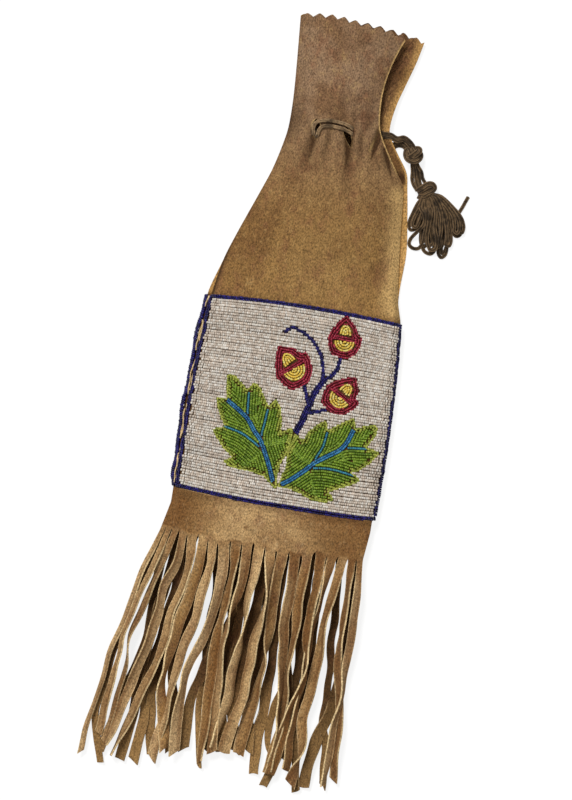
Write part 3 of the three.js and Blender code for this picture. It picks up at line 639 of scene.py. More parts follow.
@dataclass(frozen=True)
class BagForm:
    """Outline and heights of the bag, repeated from its solids."""

    panel_half: float = 72.2
    panel_top: float = 72.5
    belly: float = 0.06  # widening of the panel at its fullest
    fullest: float = -0.39  # height at which it is fullest, as a share of its half height
    arch: float = 0.045  # rise of the rows' middle, as a share of their height
    sag_from: float = 25.0
    sag: tuple[float, float] = (1.3, 2.0)  # sag of the lower edge, and how much more at its right
    roll: float = 6.0  # width of the rolled sides
    overhang: float = 3.0  # how far the back hide shows past the front one on the left
    overhang_length: float = 30.0
    mouth_rise: float = 221.0
    seam_rise: float = 110.0
    neck_rise: float = 137.0
    waist_rise: float = 67.0
    rooms: tuple[float, float, float, float] = (7.0, 12.0, 14.0, 15.0)  # between the hides, panel to mouth
    lip_share: float = 0.45
    wave: float = 0.28  # height of the slack hide's slow waves
    arch_length: float = 40.0
    lap: float = 10.0
    skirt: float = 32.0
    hide: float = 1.5
    bead: float = 1.7
    gap: float = 0.3
    neck_lift: float = 3.6
    neck_reach: float = 40.0
    mouth_crest: float = -10.0
    mouth_radius: float = 310.0
    tooth: float = 3.2
    tooth_pitch: float = 10.0

    @property
    def reach(self) -> float:
        """Upper reach of the panel's middle."""
        return self.panel_top * (1 + self.arch)

    @property
    def hide_bottom(self) -> float:
        """Lower end of the hides, under the fringe."""
        return -self.reach - self.lap

    @property
    def skirt_bottom(self) -> float:
        """Lower end of the fringe's uncut skirt."""
        return -self.reach - self.skirt

    @property
    def neck(self) -> float:
        """Height of the drawstring."""
        return self.panel_top + self.neck_rise

    @property
    def mouth(self) -> float:
        """Highest point of the mouth."""
        return self.panel_top + self.mouth_rise

    def flare(self, y: Any) -> Array:
        """Widening of the panel: one plus the belly times one minus the squared way from the fullest."""
        off = (np.clip(np.asarray(y, float) / self.panel_top, -1, 1) - self.fullest) / (1 - self.fullest)
        return 1 + self.belly * (1 - off * off)

    def bowed(self, x: Any, y: Any) -> Array:
        """Height of a point of the panel: rows arch away from the middle one and sag at the lower right."""
        depth = self.sag[0] + self.sag[1] * ease(x, 0, self.panel_half)
        sag = ease(-np.asarray(y, float), self.sag_from, self.panel_top) * depth
        return y * (1 + self.arch * (1 - (np.asarray(x, float) / self.panel_half) ** 2)) - sag

    def edge(self, table: Sequence[Sequence[float]], y: Any) -> Array:
        """Distance of an edge from the middle: flared beside the panel, a smooth curve above it."""
        stations = np.asarray(table, float) * [self.mouth_rise, self.panel_half] + [self.panel_top, 0]
        above = curve_through(stations, np.clip(y, self.panel_top, self.mouth))
        return np.where(np.asarray(y) > self.panel_top, above, self.panel_half * self.flare(y))

    def front_left(self, y: Any) -> Array:
        """Left edge of the front hide."""
        return -self.edge(LEFT_EDGE, y)

    def front_right(self, y: Any) -> Array:
        """Right edge of the front hide."""
        return self.edge(RIGHT_EDGE, y)

    def back_left(self, y: Any) -> Array:
        """Left edge of the back hide, which shows past the front one beside the panel."""
        shown = 1 - ease(y, self.panel_top, self.panel_top + self.overhang_length)
        return self.front_left(y) - self.overhang * shown

    def back_right(self, y: Any) -> Array:
        """Right edge of the back hide."""
        return self.edge(BACK_RIGHT_EDGE, y)

    def across(self, x: Any, y: Any) -> Array:
        """Place across the front hide, from -1 at its left edge to 1 at its right edge."""
        left = self.front_left(y)
        return np.clip(2 * (x - left) / (self.front_right(y) - left) - 1, -1, 1)

    def back_under(self, y: Any) -> Array:
        """Height of the back hide's outer face: on its beads, then on the floor, raised at the neck."""
        on_beads = (self.bead + self.gap) * (1 - ease(y, self.reach, self.reach + self.arch_length))
        return on_beads + self.neck_lift * hump((np.asarray(y, float) - self.neck) / self.neck_reach)

    def folds(self, x: Any, y: Any) -> Array:
        """Depth of the front hide's folds at a point.

        A fold is a groove along a line: its depth times the bell of the distance from the line over
        its half width, fading from its start at the neck to its end, and widening as it fades.

        Args:
            x: Place across.
            y: Height.

        Returns:
            The depth, below zero for a ridge.
        """
        x, y = np.broadcast_arrays(np.asarray(x, float), np.asarray(y, float))
        total = np.zeros(x.shape)
        for x0, y0, x1, y1, depth, width in FRONT_FOLDS:
            run = np.array([x1 - x0, y1 - y0])
            length = np.hypot(*run)
            along = ((x - x0) * run[0] + (y - y0) * run[1]) / length**2
            aside = ((x - x0) * run[1] - (y - y0) * run[0]) / length
            fade = (1 - ease(along, 0.0, 1.0)) * ease(along, -0.22, 0.05)
            total += depth * fade * np.exp(-((aside / (width * (1 + 0.8 * np.clip(along, 0, 1)))) ** 2))
        return total

    def front_over(self, s: Any, y: Any) -> Array:
        """Height of the front hide's outer face.

        The room between the hides grows from the panel to the mouth. Across the panel it is flat with
        rolled sides, a quarter sine each; above it is arched, one minus the cubed distance. The right
        lip stands a little open, and the gathers at the neck are cut into it.

        Args:
            s: Place across from -1 to 1.
            y: Height along the bag.

        Returns:
            Height above the floor.
        """
        s, y = np.broadcast_arrays(np.asarray(s, float), np.asarray(y, float))
        waist = self.panel_top + self.waist_rise
        rows = [self.panel_top, self.reach, waist, self.neck, self.mouth]
        stations = together(rows, [self.rooms[0], *self.rooms])
        above = curve_through(stations, np.clip(y, self.panel_top, self.mouth))
        room = np.where(y > self.reach, above, self.rooms[0])
        room = room * np.clip((y - self.hide_bottom) / self.lap, 0, 1)
        rolled = np.sin(np.pi / 2 * np.clip((1 - np.abs(s)) * self.panel_half / self.roll, 0, 1))
        arched = 1 - np.abs(s) ** 3
        closed = blend(rolled, arched, ease(y, self.reach, self.reach + self.arch_length))
        lip = self.lip_share * ease(y, self.panel_top + self.seam_rise, self.neck) * np.maximum(s, 0)
        x = blend(self.front_left(y), self.front_right(y), (s + 1) / 2)
        sunk = self.folds(x, y) * (1 - s**8)
        waves = self.wave * np.sin(x / 9 + y / 31) * np.sin(y / 17 - x / 23) * ease(y, self.reach, waist)
        return self.back_under(y) + 2 * self.hide + self.gap + room * blend(closed, 1, lip) - sunk + waves

    def mouth_line(self, x: Any, left: float, right: float, phase: float) -> Array:
        """Pinked edge: a wide arch, cut back towards each tooth's sides by a power of the distance.

        Args:
            x: Place across.
            left: Left end of the edge.
            right: Right end of the edge.
            phase: Part of a tooth that the edge starts with.

        Returns:
            Height of the edge.
        """
        count = round((right - left) / self.tooth_pitch)
        place_in_tooth = np.mod(phase + count * (np.asarray(x, float) - left) / (right - left), 1.0)
        arch = self.mouth - (x - self.mouth_crest) ** 2 / (2 * self.mouth_radius)
        return arch - self.tooth * np.abs(2 * place_in_tooth - 1) ** 1.25


FORM = BagForm()


# Drawstring

# The two turns of the cord where they lie on the front, from the right slit to the left one
STITCHES = (
    [(12.6, 211.4), (9.3, 213.0), (1.2, 214.2), (-6.7, 214.0), (-13.6, 212.0), (-15.8, 207.6),
     (-15.0, 203.4)],
    [(13.0, 207.4), (9.6, 208.8), (4.5, 209.9), (-3.5, 210.3), (-9.4, 209.0), (-11.4, 206.0),
     (-12.0, 202.4)],
)
# Middle lines of the strands from the neck's right edge through the upper knot to the lower one, by solid
STRANDS = {
    "upper_lead_a": [
        (34.0, 212.4, 7.2), (42.6, 212.3, 6.6), (47.6, 210.6, 4.6), (52.7, 212.0, 4.4), (57.9, 209.2, 5.0),
        (61.4, 205.1, 5.6), (63.5, 198.9, 5.0), (66.0, 192.7, 4.6), (69.6, 188.1, 4.2), (71.0, 184.0, 4.0),
        (73.7, 180.1, 4.6), (75.4, 176.4, 5.0),
    ],
    "upper_lead_b": [
        (34.0, 209.6, 6.8), (42.8, 209.8, 5.8), (47.9, 208.1, 4.0), (52.4, 209.5, 3.8), (56.4, 206.9, 4.4),
        (60.2, 203.4, 5.0), (62.6, 198.0, 4.6), (64.8, 192.5, 3.4), (67.2, 187.8, 2.6), (68.4, 183.6, 2.6),
        (70.0, 179.4, 3.4), (72.6, 175.6, 4.6),
    ],
    "lower_lead_a": [
        (45.2, 205.6, 1.4), (48.1, 207.4, 1.6), (52.6, 207.6, 1.9), (55.9, 205.6, 2.4), (59.4, 201.9, 3.4),
        (61.6, 197.1, 4.6), (63.4, 191.6, 4.6), (65.1, 187.5, 4.0), (66.0, 183.3, 3.8), (67.7, 178.8, 4.0),
        (70.6, 174.6, 4.8),
    ],
    "lower_lead_b": [
        (45.6, 202.6, 1.4), (48.8, 205.0, 1.3), (52.8, 205.2, 1.4), (55.4, 203.4, 1.8), (58.2, 200.0, 3.0),
        (60.9, 195.6, 4.2), (62.2, 191.0, 2.6), (63.0, 187.2, 1.9), (63.3, 182.8, 1.8), (64.8, 178.7, 2.2),
        (68.6, 173.8, 4.0),
    ],
}
# Bands of the two knots, each of two strands side by side
KNOTS = {
    "upper": (
        [(60.5, 203.8, 3.0), (56.9, 202.7, 3.4), (56.5, 199.2, 5.0), (58.4, 196.2, 7.4), (62.5, 195.4, 8.6),
         (65.6, 197.2, 7.6), (66.4, 200.4, 5.0), (64.6, 203.0, 3.4)],
        [(57.8, 195.0, 3.4), (60.0, 197.6, 7.6), (62.9, 200.2, 8.8), (64.9, 202.6, 7.6), (64.8, 204.4, 5.0),
         (62.0, 204.2, 3.2)],
        [(58.6, 204.6, 4.6), (59.8, 202.2, 7.0), (61.4, 199.6, 6.8), (63.0, 196.0, 5.4), (63.6, 193.4, 4.0)],
    ),
    "lower": (
        [(69.0, 173.2, 3.0), (70.3, 174.4, 6.0), (73.0, 176.7, 8.6), (76.0, 179.2, 8.2), (78.8, 179.6, 6.4),
         (80.4, 178.0, 4.6), (79.2, 175.6, 6.2), (76.6, 173.9, 7.8), (73.3, 171.7, 6.4), (70.4, 171.8, 3.0)],
        [(70.2, 170.6, 2.6), (73.0, 169.9, 5.6), (76.4, 171.0, 6.6), (78.9, 173.6, 3.4)],
    ),
}
# Loops of the hank: layer from the floor along the legs, layer at the far bend, points of the middle line
LOOPS = (
    (1, 0, [(72.8, 168.6), (70.2, 163.6), (67.8, 155.6), (66.4, 149.0), (67.9, 144.4), (71.0, 145.0),
            (72.5, 149.9), (73.7, 156.9), (74.7, 164.3), (74.8, 168.6)]),
    (2, 2, [(73.5, 169.6), (71.8, 160.2), (69.4, 152.6), (69.0, 147.6), (72.0, 146.4), (73.9, 152.5),
            (74.8, 160.7), (75.2, 169.0)]),
    (4, 0, [(74.2, 169.9), (72.4, 162.5), (76.9, 155.2), (77.0, 148.7), (72.5, 142.2), (69.4, 137.4),
            (69.0, 133.2), (72.2, 130.8), (76.4, 131.4), (78.6, 135.6), (78.9, 142.5), (79.1, 150.5),
            (78.3, 159.8), (76.4, 169.8)]),
    (2, 0, [(75.6, 169.1), (77.6, 159.7), (77.9, 148.8), (77.4, 138.6), (80.6, 130.4), (85.8, 128.6),
            (88.5, 132.0), (85.6, 139.1), (82.8, 149.6), (81.9, 160.4), (79.2, 169.3)]),
    (3, 2, [(77.0, 169.3), (81.2, 160.2), (81.4, 149.4), (81.7, 138.5), (85.0, 131.6), (88.8, 132.4),
            (89.2, 138.6), (85.9, 148.6), (84.7, 160.8), (80.5, 169.9)]),
    (2, 1, [(79.0, 170.3), (84.7, 160.8), (86.4, 150.2), (86.6, 139.8), (89.6, 134.0), (92.4, 136.0),
            (91.2, 143.6), (88.6, 154.2), (85.5, 164.6), (81.8, 170.8)]),
    (3, 0, [(81.0, 171.4), (88.3, 160.7), (90.8, 149.4), (91.1, 138.6), (91.6, 130.4), (94.3, 127.2),
            (97.1, 130.2), (97.0, 138.0), (94.4, 150.0), (90.5, 161.0), (83.9, 171.1)]),
    (2, 1, [(82.4, 171.6), (91.2, 161.1), (94.8, 151.5), (95.9, 142.6), (96.2, 137.2), (98.6, 136.4),
            (99.6, 140.6), (97.4, 149.7), (93.3, 161.4), (85.4, 171.4)]),
    (3, 2, [(83.8, 171.8), (91.1, 166.2), (98.1, 158.6), (100.4, 152.2), (100.9, 148.0), (103.2, 146.8),
            (104.3, 150.6), (101.8, 157.7), (94.8, 165.3), (86.8, 171.6)]),
    (2, 1, [(85.2, 172.1), (94.7, 166.0), (101.3, 159.8), (104.1, 153.4), (104.6, 148.6), (106.7, 147.6),
            (107.4, 152.4), (104.5, 158.8), (97.8, 165.0), (87.4, 172.0)]),
    (1, 0, [(84.6, 171.6), (92.9, 163.6), (97.1, 155.5), (99.4, 148.8), (102.6, 144.8), (105.6, 146.2),
            (106.2, 151.4), (102.5, 157.8), (95.8, 164.0), (86.9, 170.9)]),
    (1, 1, [(78.4, 169.5), (82.2, 158.2), (81.3, 145.7), (81.0, 137.6), (83.6, 134.6), (86.4, 136.6),
            (86.9, 146.6), (85.7, 158.8), (81.3, 169.3)]),
    (0, 0, [(74.5, 168.7), (71.3, 155.0), (69.9, 148.2), (72.1, 145.3), (74.2, 149.7), (74.9, 158.5),
            (75.9, 168.0)]),
    (0, 0, [(75.2, 168.8), (76.8, 155.9), (76.3, 145.6), (77.3, 136.6), (79.9, 132.7), (82.0, 136.7),
            (81.3, 145.7), (79.6, 156.4), (78.0, 168.3)]),
    (0, 0, [(78.0, 168.3), (82.7, 156.4), (84.1, 146.2), (83.6, 135.3), (85.5, 131.0), (88.0, 134.0),
            (88.2, 143.2), (85.3, 157.3), (80.9, 168.7)]),
    (0, 0, [(80.9, 168.7), (86.7, 157.5), (89.1, 147.0), (89.4, 137.8), (91.4, 133.7), (93.6, 135.9),
            (93.1, 144.0), (90.8, 154.5), (84.4, 168.3)]),
    (0, 0, [(82.3, 169.0), (89.5, 157.9), (92.9, 147.6), (93.0, 136.2), (94.3, 130.4), (96.0, 131.6),
            (97.3, 140.6), (95.8, 150.2), (92.1, 159.8), (85.7, 169.2)]),
    (0, 0, [(85.0, 169.1), (93.9, 162.3), (100.3, 155.3), (102.1, 150.9), (102.6, 147.4), (104.5, 146.6),
            (105.1, 150.7), (101.8, 157.3), (95.8, 164.0), (87.1, 169.8)]),
)
LOOSE_END = [
    (81.4, 170.5, 4.6), (85.5, 168.2, 4.0), (92.6, 164.0, 1.6), (98.6, 160.6, 1.1), (101.9, 162.3, 1.1),
    (104.4, 167.4, 1.1), (106.0, 171.8, 1.1), (107.4, 175.4, 1.1),
]
TIP_BULGE = 0.4  # how far a tube's closed end stands out, as a share of its half height


def tube(path: Array, section: Array, upright: Sequence[float]) -> tuple[Array, list[Array], Array]:
    """A profile carried along a path and closed at both ends.

    A ring's points are the path point plus the section's two distances on two directions across the
    path: one square to the upright direction, the other square to both.

    Args:
        path: Middle line.
        section: Distances aside and above, one point of a ring a row.
        upright: A direction that the path never runs along.

    Returns:
        Points, arrays of faces, and each face corner's place round and along the path.
    """
    way = unit(np.gradient(path, axis=0))
    aside = unit(np.cross(way, np.asarray(upright, float)))
    above = np.cross(aside, way)
    sides, rows = len(section), len(path)
    body = path[:, None] + section[:, :1] * aside[:, None] + section[:, 1:] * above[:, None]
    tips = path[[0, -1]] + TIP_BULGE * section[:, 1].max() * np.stack([-way[0], way[-1]])
    at = np.arange(rows * sides).reshape(rows, sides)
    after = np.roll(at, -1, axis=1)
    quads = together(at[:-1], after[:-1], after[1:], at[1:]).reshape(-1, 4)
    first, last = together(after[0], at[0], at.size), together(at[-1], after[-1], at.size + 1)
    v = measured(path)
    v0, v1 = v[:-1, None], v[1:, None]
    u0 = np.arange(sides) / sides
    u1 = u0 + 1 / sides
    wraps = [together(u0, v0, u1, v0, u1, v1, u0, v1), *(together(u1, e, u0, e, u0, e) for e in v[[0, -1]])]
    wrap = np.concatenate([part.reshape(-1, 2) for part in wraps])
    return np.concatenate([body.reshape(-1, 3), tips]), [quads, first, last], wrap


def ellipse(half_width: float, half_height: float, sides: int, dent: float = 0.0) -> Array:
    """An oval section, dented along the middle of both faces by a bell of the cosine."""
    angle = np.linspace(0, 2 * np.pi, sides, endpoint=False)
    rise = np.sin(angle) * (1 - dent * np.exp(-((np.cos(angle) / 0.3) ** 2)))
    return together(half_width * np.cos(angle), half_height * rise)


def joined(
    name: str, parts: Sequence[tuple[Array, list[Array], Array]], finish: bpy.types.Material,
    marks: Optional[dict[str, float]] = None,
) -> bpy.types.Object:
    """One piece of several tubes.

    Args:
        name: Name of the piece.
        parts: The tubes.
        finish: Their material.
        marks: Marks that are the same all over, in place of the wrapped pattern.

    Returns:
        The piece.
    """
    first = np.cumsum([0, *(len(part[0]) for part in parts)])
    points = np.concatenate([part[0] for part in parts])
    faces = [face + start for part, start in zip(parts, first) for face in part[1]]
    values = {mark: np.full(len(points), value) for mark, value in (marks or {}).items()}
    wrap = None if marks else np.concatenate([part[2] for part in parts])
    return make_piece(name, points, faces, [finish], marks=values, wrap=wrap, sharp=80)


@dataclass
class Drawstring:
    """Dark flat cord: two turns round the neck, four strands to two knots, and a hank of loops."""

    finish: bpy.types.Material
    rubbed: bpy.types.Material
    slot: str = "drawstring_cord"
    cord: float = 2.8
    half_height: float = 1.0
    clearance: float = 0.35  # between the cord and the hide that it lies on
    turn_distance: float = 1.6
    slit_back: float = -22.0
    throat: tuple[float, float] = (75.6, 173.6)  # where the hank's loops meet in the lower knot
    knot_height: float = 4.9
    layer: float = 1.95
    band_half: float = 1.3
    step: float = 0.9

    @property
    def section(self) -> Array:
        """Section of the cord: an oval with a fold along its middle."""
        return ellipse(self.cord / 2, self.half_height, 12, 0.4)

    def build(self) -> None:
        """Makes the turns, the knots, the strands between them, the hank and the loose end."""
        for number, name in enumerate(KNOTS):
            turn = tube(self.neck_route(number), self.section, (0, 0.2, 1))
            place(joined(f"{name}_neck_cord", [turn], self.rubbed), self.slot, f"{name}_neck_turn")
        for name, bands in KNOTS.items():
            place(self.knot(f"{name}_tied_knot", bands), self.slot, f"{name}_knot")
        for number, (node, points) in enumerate(STRANDS.items(), 1):
            self.free(f"knotted_strand_{number}", smooth_path(points, self.step), node, "knot_link")
        for number, loop in enumerate(LOOPS):
            self.free(f"hank_loop_{number + 1}", self.loop_route(number, *loop), "drawstring_hank")
        self.free("loose_cord_end", smooth_path(LOOSE_END, self.step), "drawstring_end", far_end="bare")

    def free(self, name: str, path: Array, *nodes: str, far_end: str = "object") -> None:
        """Args:
            name: Name of the piece.
            path: Its middle line.
            nodes: Solids that it stands for.
            far_end: What its far end is; not used.
        """
        piece = joined(name, [tube(path, self.section, (0, 0, 1))], self.finish)
        place(piece, self.slot, *nodes)

    def over(self, x: float, y: float) -> float:
        """Height of the cord's middle where it lies on the front hide."""
        return float(FORM.front_over(FORM.across(x, y), y)) + self.half_height + self.clearance

    def neck_route(self, number: int) -> Array:
        """One turn: in at the right edge, out and in at the front slits, and away under the back.

        Args:
            number: 0 for the upper turn and 1 for the lower one.

        Returns:
            Its middle line.
        """
        y = FORM.neck + self.turn_distance * (1 - 2 * number)
        inside = FORM.neck_lift + FORM.hide + 4.0
        under = self.half_height + 0.3
        first, *_, last = STITCHES[number]
        start, away = list(STRANDS.values())[number::2]
        route = [
            start[0],
            (32.0, y + 0.6, inside),
            (22.0, y, inside + 3),
            (first[0] + 1.8, first[1] - 0.8, inside + 5.5),
            *((px, py, self.over(px, py)) for px, py in STITCHES[number]),
            (last[0] - 1.2, last[1] - 1.6, inside + 6),
            (self.slit_back - 1.5, y, inside),
            (self.slit_back + 1.0, y, FORM.neck_lift + 0.5),
            (self.slit_back + 6.0, y, under),
            (-4.0, y, under),
            (18.0, y, under),
            (36.0, y - 2.0, under),
            away[0],
        ]
        return smooth_path(route, self.step)

    def knot(self, name: str, bands: Sequence[Sequence[Sequence[float]]]) -> bpy.types.Object:
        """A drawn-up knot: bands that wrap over each other, each of two strands beside its middle line.

        Args:
            name: Name of the piece.
            bands: Points of each band's middle line.

        Returns:
            The knot.
        """
        parts = []
        for band in bands:
            line = smooth_path(band, 0.5)
            off = self.band_half * unit(np.cross(np.gradient(line, axis=0), [0, 0, 1.0]))
            parts += [tube(line + sign * off, self.section, (0, 0, 1)) for sign in (-1, 1)]
        return joined(name, parts, self.finish)

    def loop_route(self, number: int, legs: int, bend: int, points: Sequence[Sequence[float]]) -> Array:
        """A loop of the hank: out of the lower knot, down to its layer, round its far bend and back.

        Args:
            number: Number of the loop, which sets its height in the knot.
            legs: Layer from the floor along the legs.
            bend: Layer at the far bend.
            points: Points that its middle line passes.

        Returns:
            The middle line.
        """
        tied = [blend(np.asarray(points[end], float), np.array(self.throat), 0.62) for end in (0, -1)]
        flat = smooth_path([tied[0], *points, tied[1]], self.step)
        along = measured(flat)
        out = np.minimum(along, along[-1] - along)
        reach = along[-1] / 2
        low, high = (self.half_height + 0.1 + self.layer * level for level in (legs, bend))
        height = blend(low, high, ease(out, 0.55 * reach, 0.9 * reach))
        knotted = self.knot_height + 1.5 * math.sin(2.4 * number)
        return np.column_stack([flat, blend(knotted, height, ease(out, 3.0, 19.0))])


# Hides

# Painted shade along the deep creases of the front hide, closing downwards: points, half width and how dark
# the shade is
CREASE_SHADES = (
    ([(35.0, 215.0), (33.4, 204.0), (30.4, 191.0)], 3.6, 1.6),
    ([(40.2, 200.5), (44.4, 189.1), (49.6, 176.0)], 2.4, 0.75),
    ([(11.4, 199.0), (12.4, 190.0), (11.6, 172.0)], 2.6, 0.4),
    ([(-13.6, 200.0), (-15.0, 190.0), (-18.0, 172.0)], 2.6, 0.35),
)
# Pale edge of the fold that lies over the first crease
FOLD_EDGE = [(33.6, 219.0), (31.7, 208.0), (28.3, 196.8)]


@dataclass(frozen=True)
class Slit:
    """A slit that the cord holds open: its place across, lower and upper end, width and fullest share."""

    x: float
    low: float
    high: float
    width: float
    fullest: float

    def opening(self, y: Array) -> Array:
        """Half the slit's opening: a power of the way up to its fullest height and of the way on from it.

        Args:
            y: Height.

        Returns:
            The half opening, nothing past the slit's ends.
        """
        t = (y - self.low) / (self.high - self.low)
        grown = np.clip(t / self.fullest, 0, 1) ** 0.75
        shrunk = np.clip((1 - t) / (1 - self.fullest), 0, 1) ** 0.6
        return self.width / 2 * np.minimum(grown, shrunk)


@dataclass
class Hides:
    """The bag's two walls: the front one arched over the pouch, the back one flat on the floor."""

    suede: bpy.types.Material
    flesh: bpy.types.Material
    edge: bpy.types.Material
    front_columns: int = 137
    back_columns: int = 97
    panel_rows: int = 30
    front_step: float = 1.05
    back_step: float = 1.5
    slit_reach: float = 9.0  # how far from a slit the hide is pulled aside
    lip_lift: float = 0.35  # rise of a slit's lips, as a share of its half opening
    lip_width: float = 2.4
    lip_rubbed: float = 1.3  # width of a slit's pale edge
    tooth_pull: float = 32.0  # how far below the mouth the rows follow its teeth
    seam_width: float = 0.58  # half width of the left seam's raw edges
    front_slits: tuple[Slit, ...] = (Slit(-14.0, 199.0, 214.0, 8.4, 0.6), Slit(10.9, 196.6, 212.0, 6.6, 0.7))
    back_slits: tuple[Slit, ...] = (Slit(-22.0, 204.0, 215.0, 5.0, 0.5),)

    def build(self) -> None:
        front = self.wall("front_hide_wall", True)
        place(front, "smoked_hide", "front_hide")
        back = self.wall("back_hide_wall", False)
        place(back, "smoked_hide", "back_hide")
        place(self.welt(), "smoked_hide", "front_hide")

    def rows(self, step: float) -> Array:
        """Heights of the grid's rows, sparse under the beadwork."""
        upper = int((FORM.mouth - FORM.reach) / step)
        panel = np.linspace(FORM.hide_bottom, FORM.reach, self.panel_rows)
        return np.concatenate([panel, np.linspace(FORM.reach, FORM.mouth, upper)[1:]])

    def wall(self, name: str, front: bool) -> bpy.types.Object:
        """One wall: a grid between its two edges, pinked at the mouth, slit at the neck and thickened.

        Args:
            name: Name of the piece.
            front: True for the front wall.

        Returns:
            The wall.
        """
        slits = self.front_slits if front else self.back_slits
        rows = self.rows(self.front_step if front else self.back_step)
        columns = self.front_columns if front else self.back_columns
        s, level = np.meshgrid(np.linspace(-1, 1, columns), rows)
        left, right = (FORM.front_left, FORM.front_right) if front else (FORM.back_left, FORM.back_right)
        x = blend(left(level), right(level), (s + 1) / 2)
        x = x * (1 - 0.04 * ease(-level, FORM.panel_top, FORM.panel_top + 6))
        ends = float(left(FORM.mouth)), float(right(FORM.mouth))
        mouth_x = blend(*ends, (s + 1) / 2)
        pinked = FORM.mouth_line(mouth_x, *ends, 0.0 if front else 0.22) - FORM.mouth
        if front:
            pinked = pinked - 2.2 * ease(mouth_x, -14, 12)
        else:
            pinked = pinked + 0.4 * ease(mouth_x, -24, 6)
        pulled = FORM.mouth - self.tooth_pull
        y = level + pinked * ease(level, pulled, FORM.mouth)
        x = np.where(level > pulled, blend(left(y), right(y), (s + 1) / 2), x)
        z = FORM.front_over(s, level) if front else FORM.back_under(level) + self.curl(s, x, level)
        wear_and_shade, tone = self.front_marks(s, x, level) if front else self.back_marks(s, level)
        at = np.arange(x.size).reshape(x.shape)
        right_of = at.copy()
        copies: list[Array] = []
        shift, lift = np.zeros_like(x), np.zeros_like(x)
        copy_shift: list[Array] = []
        for slit in slits:
            row = int(np.argmin(np.abs(rows - (slit.low + slit.high) / 2)))
            column = int(np.argmin(np.abs(x[row] - slit.x)))
            off = x - x[:, column : column + 1]
            half = slit.opening(level)
            pull = half * np.maximum(0, 1 - np.abs(off) / self.slit_reach) ** 2
            shift += np.where(off > 0, pull, -pull)
            lift += self.lip_lift * half * np.exp(-((off / self.lip_width) ** 2))
            tone = np.maximum(tone, 0.8 * np.minimum(half / 0.8, 1) * np.exp(-((off / self.lip_rubbed) ** 2)))
            cut = np.flatnonzero((rows > slit.low) & (rows < slit.high))
            right_of[cut, column] = x.size + sum(map(len, copies)) + np.arange(len(cut))
            copies.append(at[cut, column])
            copy_shift.append(2 * slit.opening(rows[cut]))
        grid = together(x + shift, y, z + (lift if front else 0.0)).reshape(-1, 3)
        twin = grid[np.concatenate(copies)]
        twin[:, 0] += np.concatenate(copy_shift)
        points = np.concatenate([grid, twin])
        pick = np.concatenate([np.arange(x.size), *copies])
        marks = {"wear_and_shade": wear_and_shade.ravel()[pick], "tone": tone.ravel()[pick]}
        quads = together(right_of[:-1, :-1], at[:-1, 1:], at[1:, 1:], right_of[1:, :-1]).reshape(-1, 4)
        finishes = [self.suede, self.edge, self.flesh]
        return thick_sheet(name, points, quads if front else quads[:, ::-1], FORM.hide, finishes, marks)

    def welt(self) -> bpy.types.Object:
        """The raw edges of the left seam beside the panel: two ribbons on edge that waver and come and go.

        A ribbon's place across is the front's edge less a distance, plus two sines of the height, and
        it shows where two more sines add up to enough.

        Returns:
            The welt.
        """
        y = np.arange(-FORM.panel_top - 1, FORM.panel_top - 1, 0.8)
        parts = []
        for off, z, phase in ((0.6, 5.0, 0.0), (1.9, 4.3, 2.1)):
            sway = 0.32 * np.sin(y / 4.1 + phase) + 0.26 * np.sin(y / 1.7 + 2 * phase)
            line = together(FORM.front_left(y) - off + sway, y, z + 0.25 * np.sin(y / 2.9 + phase))
            shown = np.sin(y / 5.3 + 3 * phase) + 0.7 * np.sin(y / 2.7 + phase) > -0.35
            runs = np.split(line, np.flatnonzero(np.diff(shown)) + 1)[int(not shown[0]) :: 2]
            parts += [tube(run, ellipse(self.seam_width, 1.0, 8), (0, 0, 1)) for run in runs if len(run) > 2]
        return joined("left_seam_welt", parts, self.edge, {"tone": 0.95, "wear_and_shade": 0.0})

    @staticmethod
    def curl(s: Array, x: Array, y: Array) -> Array:
        """Lift of the back wall: its open edge curls up a little, and its inside is wrinkled at a slant.

        The wrinkles are two sines of the distance across them, bent by a slower sine. They are kept to
        the inside of the mouth's right end and fade before the free edge.

        Args:
            s: Place across from -1 to 1.
            x: Place across in millimetres.
            y: Height.

        Returns:
            The lift.
        """
        open_edge = 2.2 * ease(s, 0.5, 1.0) * ease(y, 186, 232)
        across = (0.83 * x - 0.56 * y) / 4.6 + 0.5 * np.sin(y / 8.0 + x / 13.0)
        ripple = 0.45 * np.sin(2 * np.pi * across) + 0.25 * np.sin(4.7 * np.pi * across + x / 5.0)
        return open_edge + ripple * ease(x, 27, 34) * ease(y, 206, 218) * (1 - ease(s, 0.78, 0.94))

    @staticmethod
    def front_marks(s: Array, x: Array, y: Array) -> tuple[Array, Array]:
        """Wear, painted shade and tone of the front wall.

        It is soiled at the neck and along its edges. It is painted dark as shade in its folds and creases,
        under the stitches, under the beads and along its left edge beside the panel. It is golden beside the
        right seam, and pale along its cut edges, with a painted highlight on the right edge's rolled rim, and
        along the fold over the first crease.

        Args:
            s: Place across from -1 to 1.
            x: Place across in millimetres.
            y: Height.

        Returns:
            Wear with painted shade, and tone.
        """
        # Painted shade in the hollows of the folds, by their depth.
        folds = 0.36 * np.clip(FORM.folds(x, y), 0, 2)
        neck = 0.2 * hump((y - FORM.neck + 6) / 26) * (0.6 + 0.4 * s**2)
        neck = neck + 0.5 * ease(-s, 0.7, 1.0) * hump((y - 212) / 24)
        # Worn edges, and a painted shade line along the left edge beside the panel where the back hide shows.
        edges = 0.22 * ease(np.abs(s), 0.93, 1.0) + 0.7 * ease(-s, 0.965, 0.985) * (1 - ease(y, 92, 125))
        below = 0.1 * hump((y - 128) / 70)
        # Painted shade on the hide under and between the beads.
        bead_shade = 0.5 * (1 - ease(y, FORM.panel_top - 2, FORM.panel_top + 3))
        spots = together(x.ravel(), y.ravel())

        def off(line: Sequence[Sequence[float]]) -> Array:
            """Distance of the wall's points from a line."""
            return distance(spots, np.array(line)).reshape(x.shape)
